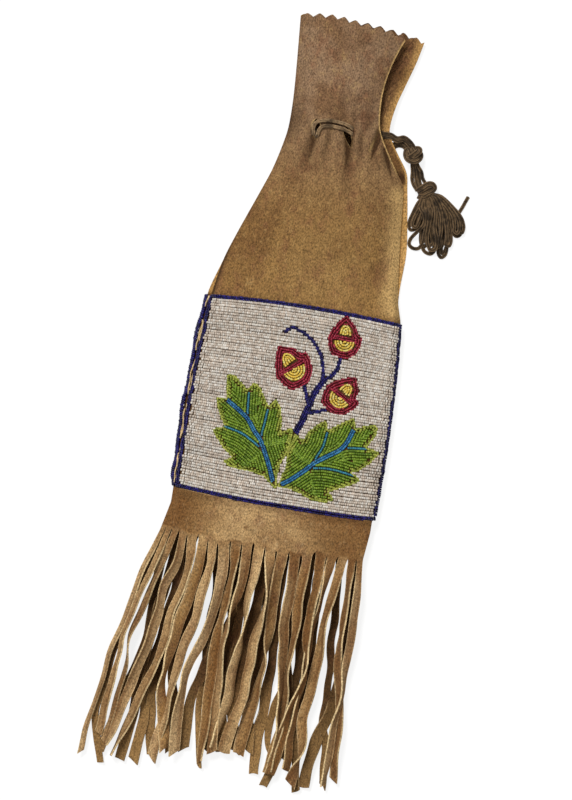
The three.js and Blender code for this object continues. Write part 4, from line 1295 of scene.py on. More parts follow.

        # Painted shade along the creases, strongest in their cores.
        crease_shade = np.zeros_like(x)
        for line, wide, dark in CREASE_SHADES:
            (_, top), *_, (_, end) = line
            open_share = 1.05 - 0.75 * np.clip((top - y) / (top - end), 0, 1)
            crease_shade += dark * open_share**0.7 * hump(off(line) / (wide * open_share))
        # Painted shadow of the drawstring's stitches on the hide.
        crease_shade += 0.55 * hump(off(np.mean(STITCHES, axis=0)) / 3.6)
        folded = hump(off(FOLD_EDGE) / 1.2)
        crease_shade *= 1 - folded
        seam = ease(y, 72, 80) * (1 - ease(y, 168, 178))
        # Pale rim of the right edge where it rolls outwards: a cut edge with a painted highlight.
        rim = ease(s, 0.955, 0.985) * ease(y, 180, 188)
        tone = 0.14 * hump((x - 5) / 60) * hump((y - 105) / 60)
        tone = np.maximum(tone, 0.84 * ease(s, 0.68, 0.99) * seam)
        tone = np.maximum(tone, np.maximum(0.9 * rim, 0.9 * folded))
        shown = (1 - rim) * (1 - 0.8 * seam * ease(s, 0.8, 0.9))
        return np.clip((folds + neck + edges + below) * shown + bead_shade + crease_shade * (1 - rim), 0, 0.9), tone

    @staticmethod
    def back_marks(s: Array, y: Array) -> tuple[Array, Array]:
        """Painted shade and tone of the back wall: shade inside the mouth, in the left seam and in the right
        seam's gap, golden at the right.

        Args:
            s: Place across from -1 to 1.
            y: Height.

        Returns:
            Painted shade, carried as wear, and tone.
        """
        # Painted shade inside the mouth, under the front wall, and in the left seam's gap beside the panel.
        dark = 0.36 * ease(y, 195, 225) * (1 - 0.85 * ease(s, 0.72, 0.98))
        seam = 1 - ease(s, -0.95, -0.85)
        dark = np.maximum(dark, 0.85 * seam * (1 - ease(y, FORM.panel_top - 2, FORM.panel_top + 2)))
        tone = 0.74 * ease(s, 0.7, 0.9) * (1 - ease(y, 190, 235)) + 0.55 * ease(s, 0.8, 1) * ease(y, 200, 240)
        tone = tone + 0.55 * seam * ease(y, FORM.panel_top, FORM.panel_top + 3)
        # Painted shade in the gap between the walls at the right seam, below the neck.
        lens = ease(y, 174, 179) * (1 - ease(y, 204, 214)) * ease(s, 0.55, 0.78)
        lens = lens * (1 - ease(s, 0.95, 0.975))
        return np.maximum(dark, (0.3 + 0.6 * hump((y - 181) / 8)) * lens), tone * (1 - 0.9 * lens)


# Fringe


class Layer(Enum):
    """The two fringe hides, back one first."""

    BACK = 0
    FRONT = 1


@dataclass(frozen=True)
class Strip:
    """A strip as it lies: its root, width and end, and its place across and turn at each level."""

    root: float
    width: float
    end: float
    places: tuple[float, ...]
    turns: tuple[float, ...] = (10, 20, -15, 25, 10, -20, 15, 20)


# Distances below the panel's middle at which a strip's place and turn, in degrees, are given
LEVELS = (130, 150, 170, 190, 210, 230, 250, 270)
FRONT_STRIPS = (
    Strip(-80.7, 4.2, 282, (-88, -94, -97, -101.5, -107, -109, -112.3, -114.8),
          (40, 48, 30, 35, 45, 35, 30, 10)),
    Strip(-77, 5.6, 266, (-82.3, -88.6, -92.8, -98, -99.5, -101, -103, -105.5),
          (42, 46, 55, 50, 60, 40, 10, 0)),
    Strip(-72, 5.0, 272, (-76.7, -82.6, -87.3, -92.6, -92.8, -94.5, -96.7, -100),
          (35, 40, 30, 65, 65, 55, 40, 45)),
    Strip(-65.5, 7.6, 272, (-65.8, -72.5, -74, -77.6, -81.7, -87, -92.3, -97.5),
          (-40, -40, -20, -45, -40, 0, 25, 68)),
    Strip(-58, 7.6, 281, (-57.3, -60, -65, -66.7, -71, -77.3, -83, -89.5),
          (45, 50, 48, 40, 45, 42, 50, 66)),
    Strip(-49.3, 9.0, 270, (-49.8, -53, -56.4, -59.5, -62.6, -61.5, -57.5, -54),
          (-20, -32, -15, -45, -70, -30, -8, -50)),
    Strip(-41.3, 7.6, 279, (-41.4, -44.5, -46.7, -50.7, -54, -56.4, -58.5, -61),
          (48, 20, 40, 15, 35, 60, 45, 20)),
    Strip(-33.5, 8.6, 272, (-31.4, -32, -34.5, -39.5, -46.4, -47, -47.5, -46),
          (0, -40, -28, -28, -48, -40, -25, -15)),
    Strip(-24.5, 8.6, 275, (-24, -25.1, -27.6, -27.8, -27.6, -27.3, -26.7, -26.4),
          (66, 42, 54, 15, 8, 12, 46, 70)),
    Strip(-16, 8.2, 267, (-15.5, -17.5, -20.5, -22.3, -21.6, -20.4, -18.4, -17.8),
          (-28, -46, -112, -118, -130, -130, -148, -178)),
    Strip(-7.5, 8.2, 263, (-7.5, -9.4, -10, -11, -12.8, -14, -17, -20),
          (38, 56, 92, 130, 140, 150, 112, 100)),
    Strip(2, 9.4, 266, (3.5, 4.5, 2, 0.6, -0.6, -2.5, -7.3, -9),
          (-58, -90, -124, -146, -138, -152, -178, -180)),
    Strip(11.5, 9.2, 265, (10.3, 10, 10.3, 11.7, 9, 6, 3.1, 1.6),
          (-38, -30, -40, -92, -120, -155, -176, -180)),
    Strip(20.8, 8.6, 269, (21.4, 21.3, 21.9, 23, 26, 27.8, 28.4, 27.5),
          (-28, -26, -28, -43, -60, -76, -70, -45)),
    Strip(30, 8.2, 275, (29, 28.7, 28.7, 28, 29.5, 30, 27, 25.5),
          (32, 39, 51, 76, 68, 66, 41, 40)),
    Strip(39.7, 8.8, 276, (39.7, 38.4, 39, 40.6, 39, 33.8, 31.6, 27),
          (46, 48, 50, 84, 121, 128, 178, 158)),
    Strip(48.5, 7.0, 272, (46.5, 44, 42.5, 41.5, 41, 40, 38.5, 39),
          (-58, -62, -66, -62, -60, -55, -42, -42)),
    Strip(56.5, 8.4, 281, (53.4, 50.6, 49, 48.8, 48.1, 45.3, 47.2, 45.2),
          (46, 51, 46, 40, 20, 0, 57, 128)),
    Strip(64, 6.4, 274, (63.3, 63.5, 64, 66, 69.4, 72.5, 74, 75.2),
          (60, 52, 60, 20, 0, 35, 56, 5)),
    Strip(69.2, 6.6, 278, (71, 71.5, 71.9, 71.3, 72, 70, 69.4, 68.6),
          (-30, -5, 0, -40, -74, -52, -22, -58)),
)
BACK_STRIPS = (
    Strip(-80, 5.4, 288, (-84, -91, -95, -100, -104.5, -107, -109.5, -104.6)),
    Strip(-76, 6.8, 280, (-78, -79, -79.6, -80, -84, -90, -95, -99)),
    Strip(-70, 8.2, 283, (-70, -72, -75, -78, -79.4, -80.6, -82, -84)),
    Strip(-63.5, 8.2, 283, (-64.5, -63.6, -66.4, -69.6, -73, -74.6, -73, -74.6)),
    Strip(-57, 7.4, 276, (-60, -57, -62, -65, -67, -70, -67, -64)),
    Strip(-47.5, 7.6, 271, (-45, -48.6, -50.6, -55, -58, -53, -52, -50)),
    Strip(-39, 5.2, 280, (-37, -34.5, -35, -35, -33, -33.4, -31.2, -28)),
    Strip(-30, 8.0, 268, (-27, -27, -29, -31.5, -35, -39.6, -40, -40)),
    Strip(-21, 7.4, 266, (-20.4, -20.6, -17, -19, -21, -22, -23, -24)),
    Strip(-12.5, 7.4, 266, (-12.6, -14, -14, -15.5, -17, -18, -13.4, -11)),
    Strip(-3.5, 8.8, 264, (-2, -2, -4, -5, -6.5, -8, -3.4, 0)),
    Strip(5.5, 8.2, 263, (5, 6.5, 6, 6.6, 4.6, 2, 8.4, 9.6)),
    Strip(14, 8.2, 278, (13, 11.6, 14, 16.6, 15.4, 14.7, 14, 15.4)),
    Strip(21, 5.6, 263, (22, 23, 24, 25.5, 27, 22.6, 21.4, 27)),
    Strip(27, 7.2, 264, (26, 26, 27, 26, 30, 31, 33, 35)),
    Strip(34, 7.6, 286, (32.6, 33.8, 34.5, 35.8, 35, 37.4, 34, 28.6)),
    Strip(41, 6.2, 287, (39.6, 42, 43.5, 44, 43.5, 42, 43, 46)),
    Strip(54, 5.8, 279, (55.6, 57.4, 57.6, 59.6, 60.6, 61, 65.6, 67)),
    Strip(66, 9.6, 283, (66, 67, 67.6, 67.4, 66.6, 63.4, 58, 54.8)),
)


@dataclass
class Fringe:
    """A hide lapped over the bag's lower end and cut into strips that twist, sway and cross."""

    suede: bpy.types.Material
    edge: bpy.types.Material
    under: bpy.types.Material
    layer: Layer
    draw: np.random.Generator  # source of unevenness
    strips: tuple[Strip, ...]
    thickness: float = 1.2
    top_shift: float = 2.0
    root_shift: tuple[float, float] = (6.9, 4.4)
    slot_round: float = 3.4
    slant: float = 3.6
    past: float = 24.0  # how far a strip's line is carried on past the last level
    floor: float = 1.45  # lowest height of the upper face, a thickness above the floor
    skirt_rows: int = 16
    strip_rows: int = 84
    across: tuple[float, ...] = (-1.0, -0.86, -0.45, 0.0, 0.45, 0.86, 1.0)

    def build(self) -> None:
        side = self.layer.name.lower()
        skirt = self.skirt()
        band = skirt[:, :-1]
        strips, *marks = self.ribbons(skirt)
        grid = np.concatenate([band, strips], axis=1)
        count, rows, columns = grid.shape[:3]
        tones, wear_and_shade_values = (np.concatenate(pair, axis=1) for pair in zip(self.skirt_marks(band), marks))
        block = np.arange(rows * columns).reshape(rows, columns)
        quads = together(block[1:, :-1], block[1:, 1:], block[:-1, 1:], block[:-1, :-1]).reshape(-1, 4)
        quads = (quads + (block.size * np.arange(count))[:, None, None]).reshape(-1, 4)
        flat = grid.reshape(-1, 3)
        _, first, back_to = np.unique(np.round(flat, 5), axis=0, return_index=True, return_inverse=True)
        marks = {"wear_and_shade": wear_and_shade_values.ravel()[first], "tone": tones.ravel()[first]}
        finishes = [self.suede, self.edge, self.under]
        quads = back_to.reshape(-1)[quads]
        piece = thick_sheet(f"{side}_fringe_hide", flat[first], quads, self.thickness, finishes, marks)
        place(piece, "fringe_hide", f"{side}_fringe")

    @staticmethod
    def skirt_marks(band: Array) -> tuple[Array, Array]:
        """Tone and wear of the uncut band: palest left of its middle, browner at its ends, one dark spot.

        Args:
            band: Points of the band.

        Returns:
            Their tone and wear.
        """
        x, y = band[..., 0], band[..., 1]
        s = x / FORM.panel_half
        tone = 0.25 - 0.2 * ease(s, 0.1, 0.8) - 0.2 * ease(-s, 0.4, 0.9)
        spot = 0.95 * hump(np.hypot(x + 19.0, y + 96.3) / 2.6)
        return tone, np.maximum(0.58 * ease(s, 0.05, 0.75) + 0.62 * ease(-s, 0.4, 1.0), spot)

    @property
    def middle(self) -> float:
        """Height of the layer where its strips begin."""
        return 2.6 + 5.6 * self.layer.value

    def root_line(self, across: Array) -> Array:
        """Height of the slots' ends along the skirt: highest at both ends, a few millimetres uneven."""
        wander = 1.5 * np.sin(9.0 * across + 1.3 + self.layer.value) + 1.2 * np.sin(23.0 * across + 2.0)
        return FORM.skirt_bottom - 0.5 + 5.0 * ease(np.abs(across), 0.8, 1.0) + wander

    def skirt(self) -> Array:
        """The uncut band, strip by strip: down from the panel's lower edge to the slots' ends.

        Across, it spans the panel's flared width and leans to the left further down. Its height goes
        from just over the hide that it laps to its layer's height.

        Returns:
            Points as strip, row, column, coordinate.
        """
        wide = FORM.panel_half * float(FORM.flare(-FORM.panel_top))
        shift, tilt = sum(self.root_shift) / 2, (self.root_shift[0] - self.root_shift[1]) / 2
        roots = (np.array([strip.root for strip in self.strips]) + shift) / (wide + tilt)
        cuts = np.concatenate([[-1.0], (roots[:-1] + roots[1:]) / 2, [1.0]])
        u = np.array(self.across)
        s = blend(cuts[:-1, None], cuts[1:, None], (u[None] + 1) / 2)[:, None, :]
        if self.layer is Layer.FRONT:
            top = FORM.bowed(s * FORM.panel_half, -FORM.panel_top) - 0.6
        else:
            top = np.full_like(s, -FORM.panel_top - 0.3)
        y = blend(top, self.root_line(s), np.linspace(0, 1, self.skirt_rows)[None, :, None])
        down = np.clip((FORM.hide_bottom - y) / (FORM.hide_bottom - FORM.skirt_bottom), 0, 1.1)
        lean = blend(*self.root_shift, (s + 1) / 2)
        x = s * FORM.panel_half * FORM.flare(y) - blend(self.top_shift * np.abs(s) ** 8, lean, down)
        if self.layer is Layer.FRONT:
            over = FORM.front_over(FORM.across(x, y), np.maximum(y, FORM.hide_bottom + 4))
            lap = over + 0.6 + self.thickness
        else:
            lap = np.full_like(y, 1.7)
        wave = 0.5 * np.sin(x / 11.0) * np.sin(y / 9.0 + 1.0) * ease(down, 0.0, 0.6)
        z = blend(lap, self.middle + self.thickness / 2, ease(down, 0.0, 1.0)) + wave
        return together(x, y, z)

    def followed(self, below: Array, first: Array, values: Array) -> Array:
        """Values along each strip: smooth through those at its root and at the levels, then straight on.

        Args:
            below: Distance of each row of each strip below the panel's middle.
            first: Value at each strip's root.
            values: Values at the levels.

        Returns:
            The values at the rows.
        """
        onward = values[:, -1] + (values[:, -1] - values[:, -2]) * self.past / (LEVELS[-1] - LEVELS[-2])
        table = np.column_stack([first, values, onward])
        at = [np.array([rows[0], *LEVELS, LEVELS[-1] + self.past]) for rows in below]
        return np.array([curve_through(together(*pair), rows) for *pair, rows in zip(at, table, below)])

    def ribbons(self, skirt: Array) -> tuple[Array, Array, Array]:
        """The strips: a twisted, cupped ribbon each, carried along its own line.

        The cross-section turns with the strip, its edges rise by the squared place across, and its
        height is kept above the floor. A slot's end is round: the strip narrows from the pitch to its
        own width by the root of the way down. A turned strip stands on its lower edge.

        Args:
            skirt: Points of the uncut band.

        Returns:
            Points as strip, row, column, coordinate, and the strips' tone and wear, with painted light and
            shade.
        """
        count = len(self.strips)
        v = (np.linspace(0, 1, self.strip_rows) ** 1.2)[None, :, None]
        u = np.array(self.across)
        order = np.arange(count)[:, None, None]

        def vary(low: float, high: float) -> Array:
            """One uneven number a strip."""
            return self.draw.uniform(low, high, (count, 1, 1))

        def sine(reach: Array, waves: Array) -> Array:
            """A sine along the strips, begun anywhere."""
            return reach * np.sin(2 * np.pi * (waves * v + vary(0, 1)))

        base = skirt[:, -1:]
        centre = base[:, :, len(u) // 2]
        root = -centre[..., 1:2]
        pitch = base[:, :, -1:, 0] - base[:, :, :1, 0]
        run = np.array([strip.end for strip in self.strips])[:, None, None] - root
        below = (root + run * v)[..., 0]
        places, turns = (
            np.array([getattr(strip, name) for strip in self.strips], float) for name in ("places", "turns")
        )
        line = self.followed(below, centre[:, 0, 0], places)[..., None]
        turn = np.radians(self.followed(below, np.zeros(count), turns)[..., None]) * ease(v, 0.0, 0.1)
        begun = ease(v, 0.0, 0.35)
        line = line + begun * (sine(vary(0.2, 0.8), vary(2.0, 3.2)) + sine(vary(0.1, 0.4), vary(4.0, 6.0)))
        turn = turn + begun * (sine(vary(0.05, 0.2), vary(2.0, 3.5)) + sine(vary(0.03, 0.1), vary(5.0, 8.0)))
        half = 0.46 * np.array([strip.width for strip in self.strips])[:, None, None]
        half = half * (1 + sine(vary(0.02, 0.07), vary(1.5, 3.0)) + sine(vary(0.01, 0.04), vary(5.0, 9.0)))
        opened = np.sqrt(np.clip(v * run / self.slot_round, 0, 1))
        half = blend(pitch / 2, np.minimum(half, blend(0.43 * pitch, half, ease(v, 0.04, 0.2))), opened)
        level = blend(self.middle, 2.0 + 2.8 * self.layer.value, ease(v, 0.1, 0.9))
        stack = (1.7 * (order % 2) + 0.9 * ((order // 2) % 2)) * self.layer.value
        bob = sine(vary(0.1, 0.5), vary(0.8, 1.6)) + stack
        height = level + self.thickness / 2 + ease(v, 0.03, 0.2) * bob + 0.8 * half * np.abs(np.sin(turn))
        slope = np.gradient(line, axis=1) / (run * np.gradient(v, axis=1))
        ahead = 1 / np.sqrt(1 + slope**2)
        begun = ease(v, 0.0, 0.08)
        cup = (sine(vary(0.1, 0.5), vary(0.8, 1.6)) + vary(0.0, 0.7)) * (u**2 - 0.4) * ease(v, 0.01, 0.15)
        cos, sin, spread = np.cos(turn), np.sin(turn), u * half
        flat = spread * cos - cup * sin
        cut = 1 + self.slant * vary(-1, 1) * u / run * v**6
        x = line + flat * blend(1.0, ahead, begun)
        y = base[..., 1] - run * v * cut + flat * (begun * slope * ahead)
        z = np.maximum(height + spread * sin + cup * cos, self.floor)
        z = blend(base[..., 2], z, ease(v, 0.0, 0.06))
        x[:, 0] = base[:, 0, :, 0]
        return together(x, y, z), *self.marks(vary, v, u)

    def marks(self, vary: Callable[[float, float], Array], v: Array, u: Array) -> tuple[Array, Array]:
        """Tone and wear of the strips: pale cut edges brighter on one side as painted light, painted shade
        along the other side, brown in part, and the back ones painted dark as shade except low down.

        Args:
            vary: Function that gives one uneven number a strip.
            v: Way down the strips from 0 to 1.
            u: Place across a strip from -1 to 1.

        Returns:
            Tone, and wear with painted shade, at the strips' points.
        """
        count = len(self.strips)
        share = (np.arange(count)[:, None, None] + 0.5) / count
        # Painted light: each strip's pale cut edge is paler still on one side, as if lit.
        lit_side = vary(-0.4, 0.4)
        rim = ease(np.abs(u), 0.8, 1.0) * ease(v, 0.0, 0.02) * np.clip(0.85 + lit_side * np.sign(u), 0, 1)
        brown = vary(0.0, 0.75) ** 1.3 + 0.3 * ease(np.abs(share - 0.45), 0.15, 0.4)
        # Painted shade along the side of each strip away from its lit edge.
        shaded_side = 0.7 * ease(-np.sign(lit_side) * u, 0.1, 0.85) * ease(v, 0.02, 0.1)
        ripple = 0.1 * np.sin(2 * np.pi * (vary(1, 2.5) * v + vary(0, 1)))
        if self.layer is Layer.FRONT:
            tone = blend(0.2, vary(0.0, 0.65), ease(v, 0.0, 0.15))
            return np.maximum(tone, rim), np.clip(brown + ripple + shaded_side, 0, 0.8) * (1 - rim)
        # The back strips are painted dark as shade under the front ones, and lit only low down, where they
        # show.
        lit = ease(v + vary(-0.08, 0.08), 0.55, 0.8)
        wear_and_shade = blend(0.45, 0.6 * brown, lit) * (1 - 0.5 * rim)
        return np.maximum(blend(0.1, 0.85, lit), 0.7 * rim), np.clip(wear_and_shade, 0, 0.8)


# Beadwork

# Outlines, veins and stem lines, in thousandths of the panel's half width and half height
LEFT_LEAF = [
    (-6, -846), (-24, -715), (-12, -601), (30, -495), (56, -403), (62, -256), (42, -216), (-51, -277),
    (-59, -172), (-92, -40), (-158, 44), (-210, -40), (-248, 11), (-323, 126), (-392, 173), (-454, 85),
    (-487, 127), (-570, 194), (-638, 220), (-673, 195), (-659, 94), (-641, -32), (-740, -32),
    (-714, -126), (-672, -226), (-614, -315), (-680, -339), (-729, -362), (-687, -428), (-597, -527),
    (-500, -599), (-585, -651), (-518, -692), (-402, -712), (-271, -710), (-157, -733), (-75, -799),
]
RIGHT_LEAF = [
    (-12, -815), (105, -815), (171, -825), (252, -850), (336, -882), (483, -887), (562, -859),
    (538, -802), (499, -782), (597, -736), (710, -689), (792, -634), (742, -589), (693, -571),
    (758, -548), (856, -466), (941, -342), (889, -322), (799, -307), (873, -177), (883, -93), (851, -67),
    (760, -83), (661, -133), (658, -90), (630, -24), (564, -66), (465, -132), (399, -190), (386, -139),
    (359, -93), (284, -147), (203, -238), (170, -320), (137, -304), (80, -264), (56, -370), (34, -469),
    (40, -601), (10, -700),
]
LEFT_VEINS = [
    [(-59, -766), (-107, -650), (-173, -518), (-247, -386), (-320, -305),
     (-394, -206), (-459, -156), (-616, -56)],
    [(-394, -206), (-411, -122), (-426, 35)],
    [(-216, -452), (-238, -337), (-230, -238), (-219, -106)],
    [(-203, -483), (-320, -412), (-434, -355), (-582, -321)],
]
RIGHT_VEINS = [
    [(26, -777), (105, -725), (236, -610), (316, -529), (431, -447),
     (545, -366), (603, -275), (641, -161)],
    [(545, -366), (627, -338), (766, -325)],
    [(284, -563), (333, -454), (374, -355), (391, -235)],
    [(288, -583), (415, -566), (545, -570), (685, -591)],
]
# Stem lines: points, number of rows of beads side by side and distance between the rows
STEM_LINES = [
    ([(84, -271), (137, -127), (171, 0), (210, 149), (258, 245), (292, 305)], 3, 1.5),
    ([(276, 291), (255, 426), (220, 534), (166, 605), (92, 677), (7, 725),
      (-116, 755), (-179, 707)], 2, 1.2),
    ([(278, 271), (375, 378), (408, 452), (415, 558)], 2, 1.35),
    ([(171, 40), (125, 137), (96, 221)], 2, 1.2),
    ([(164, -53), (269, -25), (354, 11)], 2, 1.2),
]
# Acorns: name, centre in the same thousandths, turn in degrees and size
ACORNS = (
    ("upper", (435, 754), 0, 1.02),
    ("left", (-58, 392), 40, 1.12),
    ("right", (492, 186), -30, 1.04),
)
ACORN_REACH = 0.216 * FORM.panel_half
# Outline of an acorn, as shares of the distance from its middle to its tip
ACORN_OUTLINE = [
    [-0.04, 1], [-0.22, 0.83], [-0.45, 0.56], [-0.68, 0.19], [-0.8, -0.13], [-0.71, -0.6], [-0.51, -0.92],
    [-0.16, -0.99], [0.25, -0.98], [0.6, -0.72], [0.8, -0.25], [0.82, 0.16], [0.6, 0.19], [0.46, 0.56],
    [0.19, 0.8],
]


class Shade(Enum):
    """Bead colours, each with the shades that one hank of beads shows."""

    WHITE = ("#ded5c8", "#d3c6b7", "#e5ddd2", "#c8b9a9", "#d7c7b6")
    NAVY = ("#1f185f", "#17114b", "#292275", "#130e3f")
    GREEN = ("#809f2c", "#708f25", "#8fab38", "#628020")
    OLIVE = ("#a3ae40", "#929f37", "#b0b94c", "#85922f")
    LIME = ("#b0b54a", "#9fa740", "#bfc058", "#8f9a3a")
    BLUE = ("#3a85b6", "#2f74a8", "#2a629a", "#4a93bf")
    TEAL = ("#43929f", "#3d8aaa", "#377d98")
    RED = ("#a4273c", "#921d32", "#b2344b", "#7b172b")
    YELLOW = ("#fcde70", "#f6d35c", "#fee88c", "#ecc34c")

    @property
    def palette(self) -> Array:
        """Its shades as linear colours."""
        return np.array([linear(code) for code in self.value])


def on_panel(points: Sequence[Sequence[float]]) -> Array:
    """Points given in thousandths of the panel's half width and half height, on the flat panel."""
    return np.asarray(points, float) / 1000 * [FORM.panel_half, FORM.panel_top]


# Places of a bead's two rings and of its end points from its middle, as shares of its length
BEAD_RING = 0.45
BEAD_END = 0.49


def bead_mesh(
    name: str, middle: Array, axes: tuple[Array, Array, Array], radius: Array, length: Array, shades: Array,
    sides: int, glass: bpy.types.Material, flank: float,
) -> bpy.types.Object:
    """Makes many beads as one mesh, each a closed barrel of two rings and two end points.

    A bead's colour is painted brightest on its crown and darker at its flanks, as painted light and shade, by
    the squared height round its ring.

    Args:
        name: Name of the piece.
        middle: Middles of the beads.
        axes: Directions along their holes, across the rows and away from what carries them.
        radius: Radii of the beads, one a row.
        length: Lengths of the beads, one a row.
        shades: Their colours.
        sides: Points of a ring.
        glass: Their finish.
        flank: Share of their painted brightness kept at the flanks, as painted shade.

    Returns:
        The piece.
    """
    along, across, above = axes
    angle = np.linspace(0, 2 * np.pi, sides, endpoint=False) + np.pi / 2
    ring = np.cos(angle)[:, None] * across[:, None] + np.sin(angle)[:, None] * above[:, None]
    ring = radius[:, None] * ring
    step, tip = ((share * length * along)[:, None] for share in (BEAD_RING, BEAD_END))
    here = middle[:, None]
    corners = np.concatenate([here - step + ring, here + step + ring, here - tip, here + tip], axis=1)
    a = np.arange(sides)
    b = np.roll(a, -1)
    loops = (
        together(a, a + sides, b + sides, b),
        together(b, 2 * sides, a),
        together(a + sides, 2 * sides + 1, b + sides),
    )
    size = corners.shape[1]
    first = size * np.arange(len(middle))[:, None, None]
    faces = [(part + first).reshape(-1, part.shape[1]) for part in loops]
    # Painted light: the crown is painted bright and the flanks darker as painted shade.
    crown = blend(flank, 1.0, np.maximum(np.sin(angle), 0) ** 2)
    light = np.concatenate([crown, crown, [0.5 + 0.5 * flank] * 2])[:, None] * shades[:, None, :3]
    colours = np.concatenate([light, np.ones((len(middle), size, 1))], axis=2).reshape(-1, 4)
    return make_piece(name, corners.reshape(-1, 3), faces, [glass], {"shade": colours}, sharp=180)


@dataclass
class BeadRows:
    """Rows of beads on the flat panel, gathered before their mesh is made."""

    draw: np.random.Generator  # source of unevenness
    pitch: float
    shortest: float = 0.0
    runs: list[tuple[Array, ...]] = field(default_factory=list)  # places, ways and colours of the beads

    def add(self, line: Array, shade: Shade, kept: Optional[Array] = None) -> None:
        """Lays beads along a line, or along each run of it that is kept.

        Args:
            line: The line on the flat panel.
            shade: Colour of the beads.
            kept: True for the points of the line that get beads.
        """
        draw, palette = self.draw, shade.palette
        flags = np.ones(len(line), bool) if kept is None else kept
        change = np.flatnonzero(np.diff(np.concatenate([[0], flags.astype(int), [0]])))
        for start, end in zip(change[::2], change[1::2]):
            run = line[start:end]
            reach = measured(run)
            if len(run) < 2 or reach[-1] < self.shortest:
                continue
            count = max(1, int(round(reach[-1] / self.pitch * draw.normal(1.0, 0.02))))
            ends = np.cumsum(np.clip(draw.normal(1.0, 0.09, count), 0.75, 1.25))
            stops = (ends - 0.5 + draw.uniform(-0.4, 0.4)) * reach[-1] / ends[-1]
            stops = np.clip(stops, 0.0, reach[-1])
            spots = sampled(run, reach, stops) + draw.normal(0, 0.05, (count, 2))
            ways = unit(sampled(unit(np.gradient(run, axis=0)), reach, stops))
            pick = palette[draw.integers(0, len(palette), count)]
            lane = draw.normal(1.0, 0.05) * draw.normal(1.0, 0.05, (count, 1))
            self.runs.append((spots, ways, np.clip(pick * lane, 0, 1)))

    def drop(self, unwanted: Callable[[Array], Array]) -> None:
        """Takes out the beads whose places a test names."""
        for i, run in enumerate(self.runs):
            keep = ~unwanted(run[0])
            self.runs[i] = tuple(part[keep] for part in run)


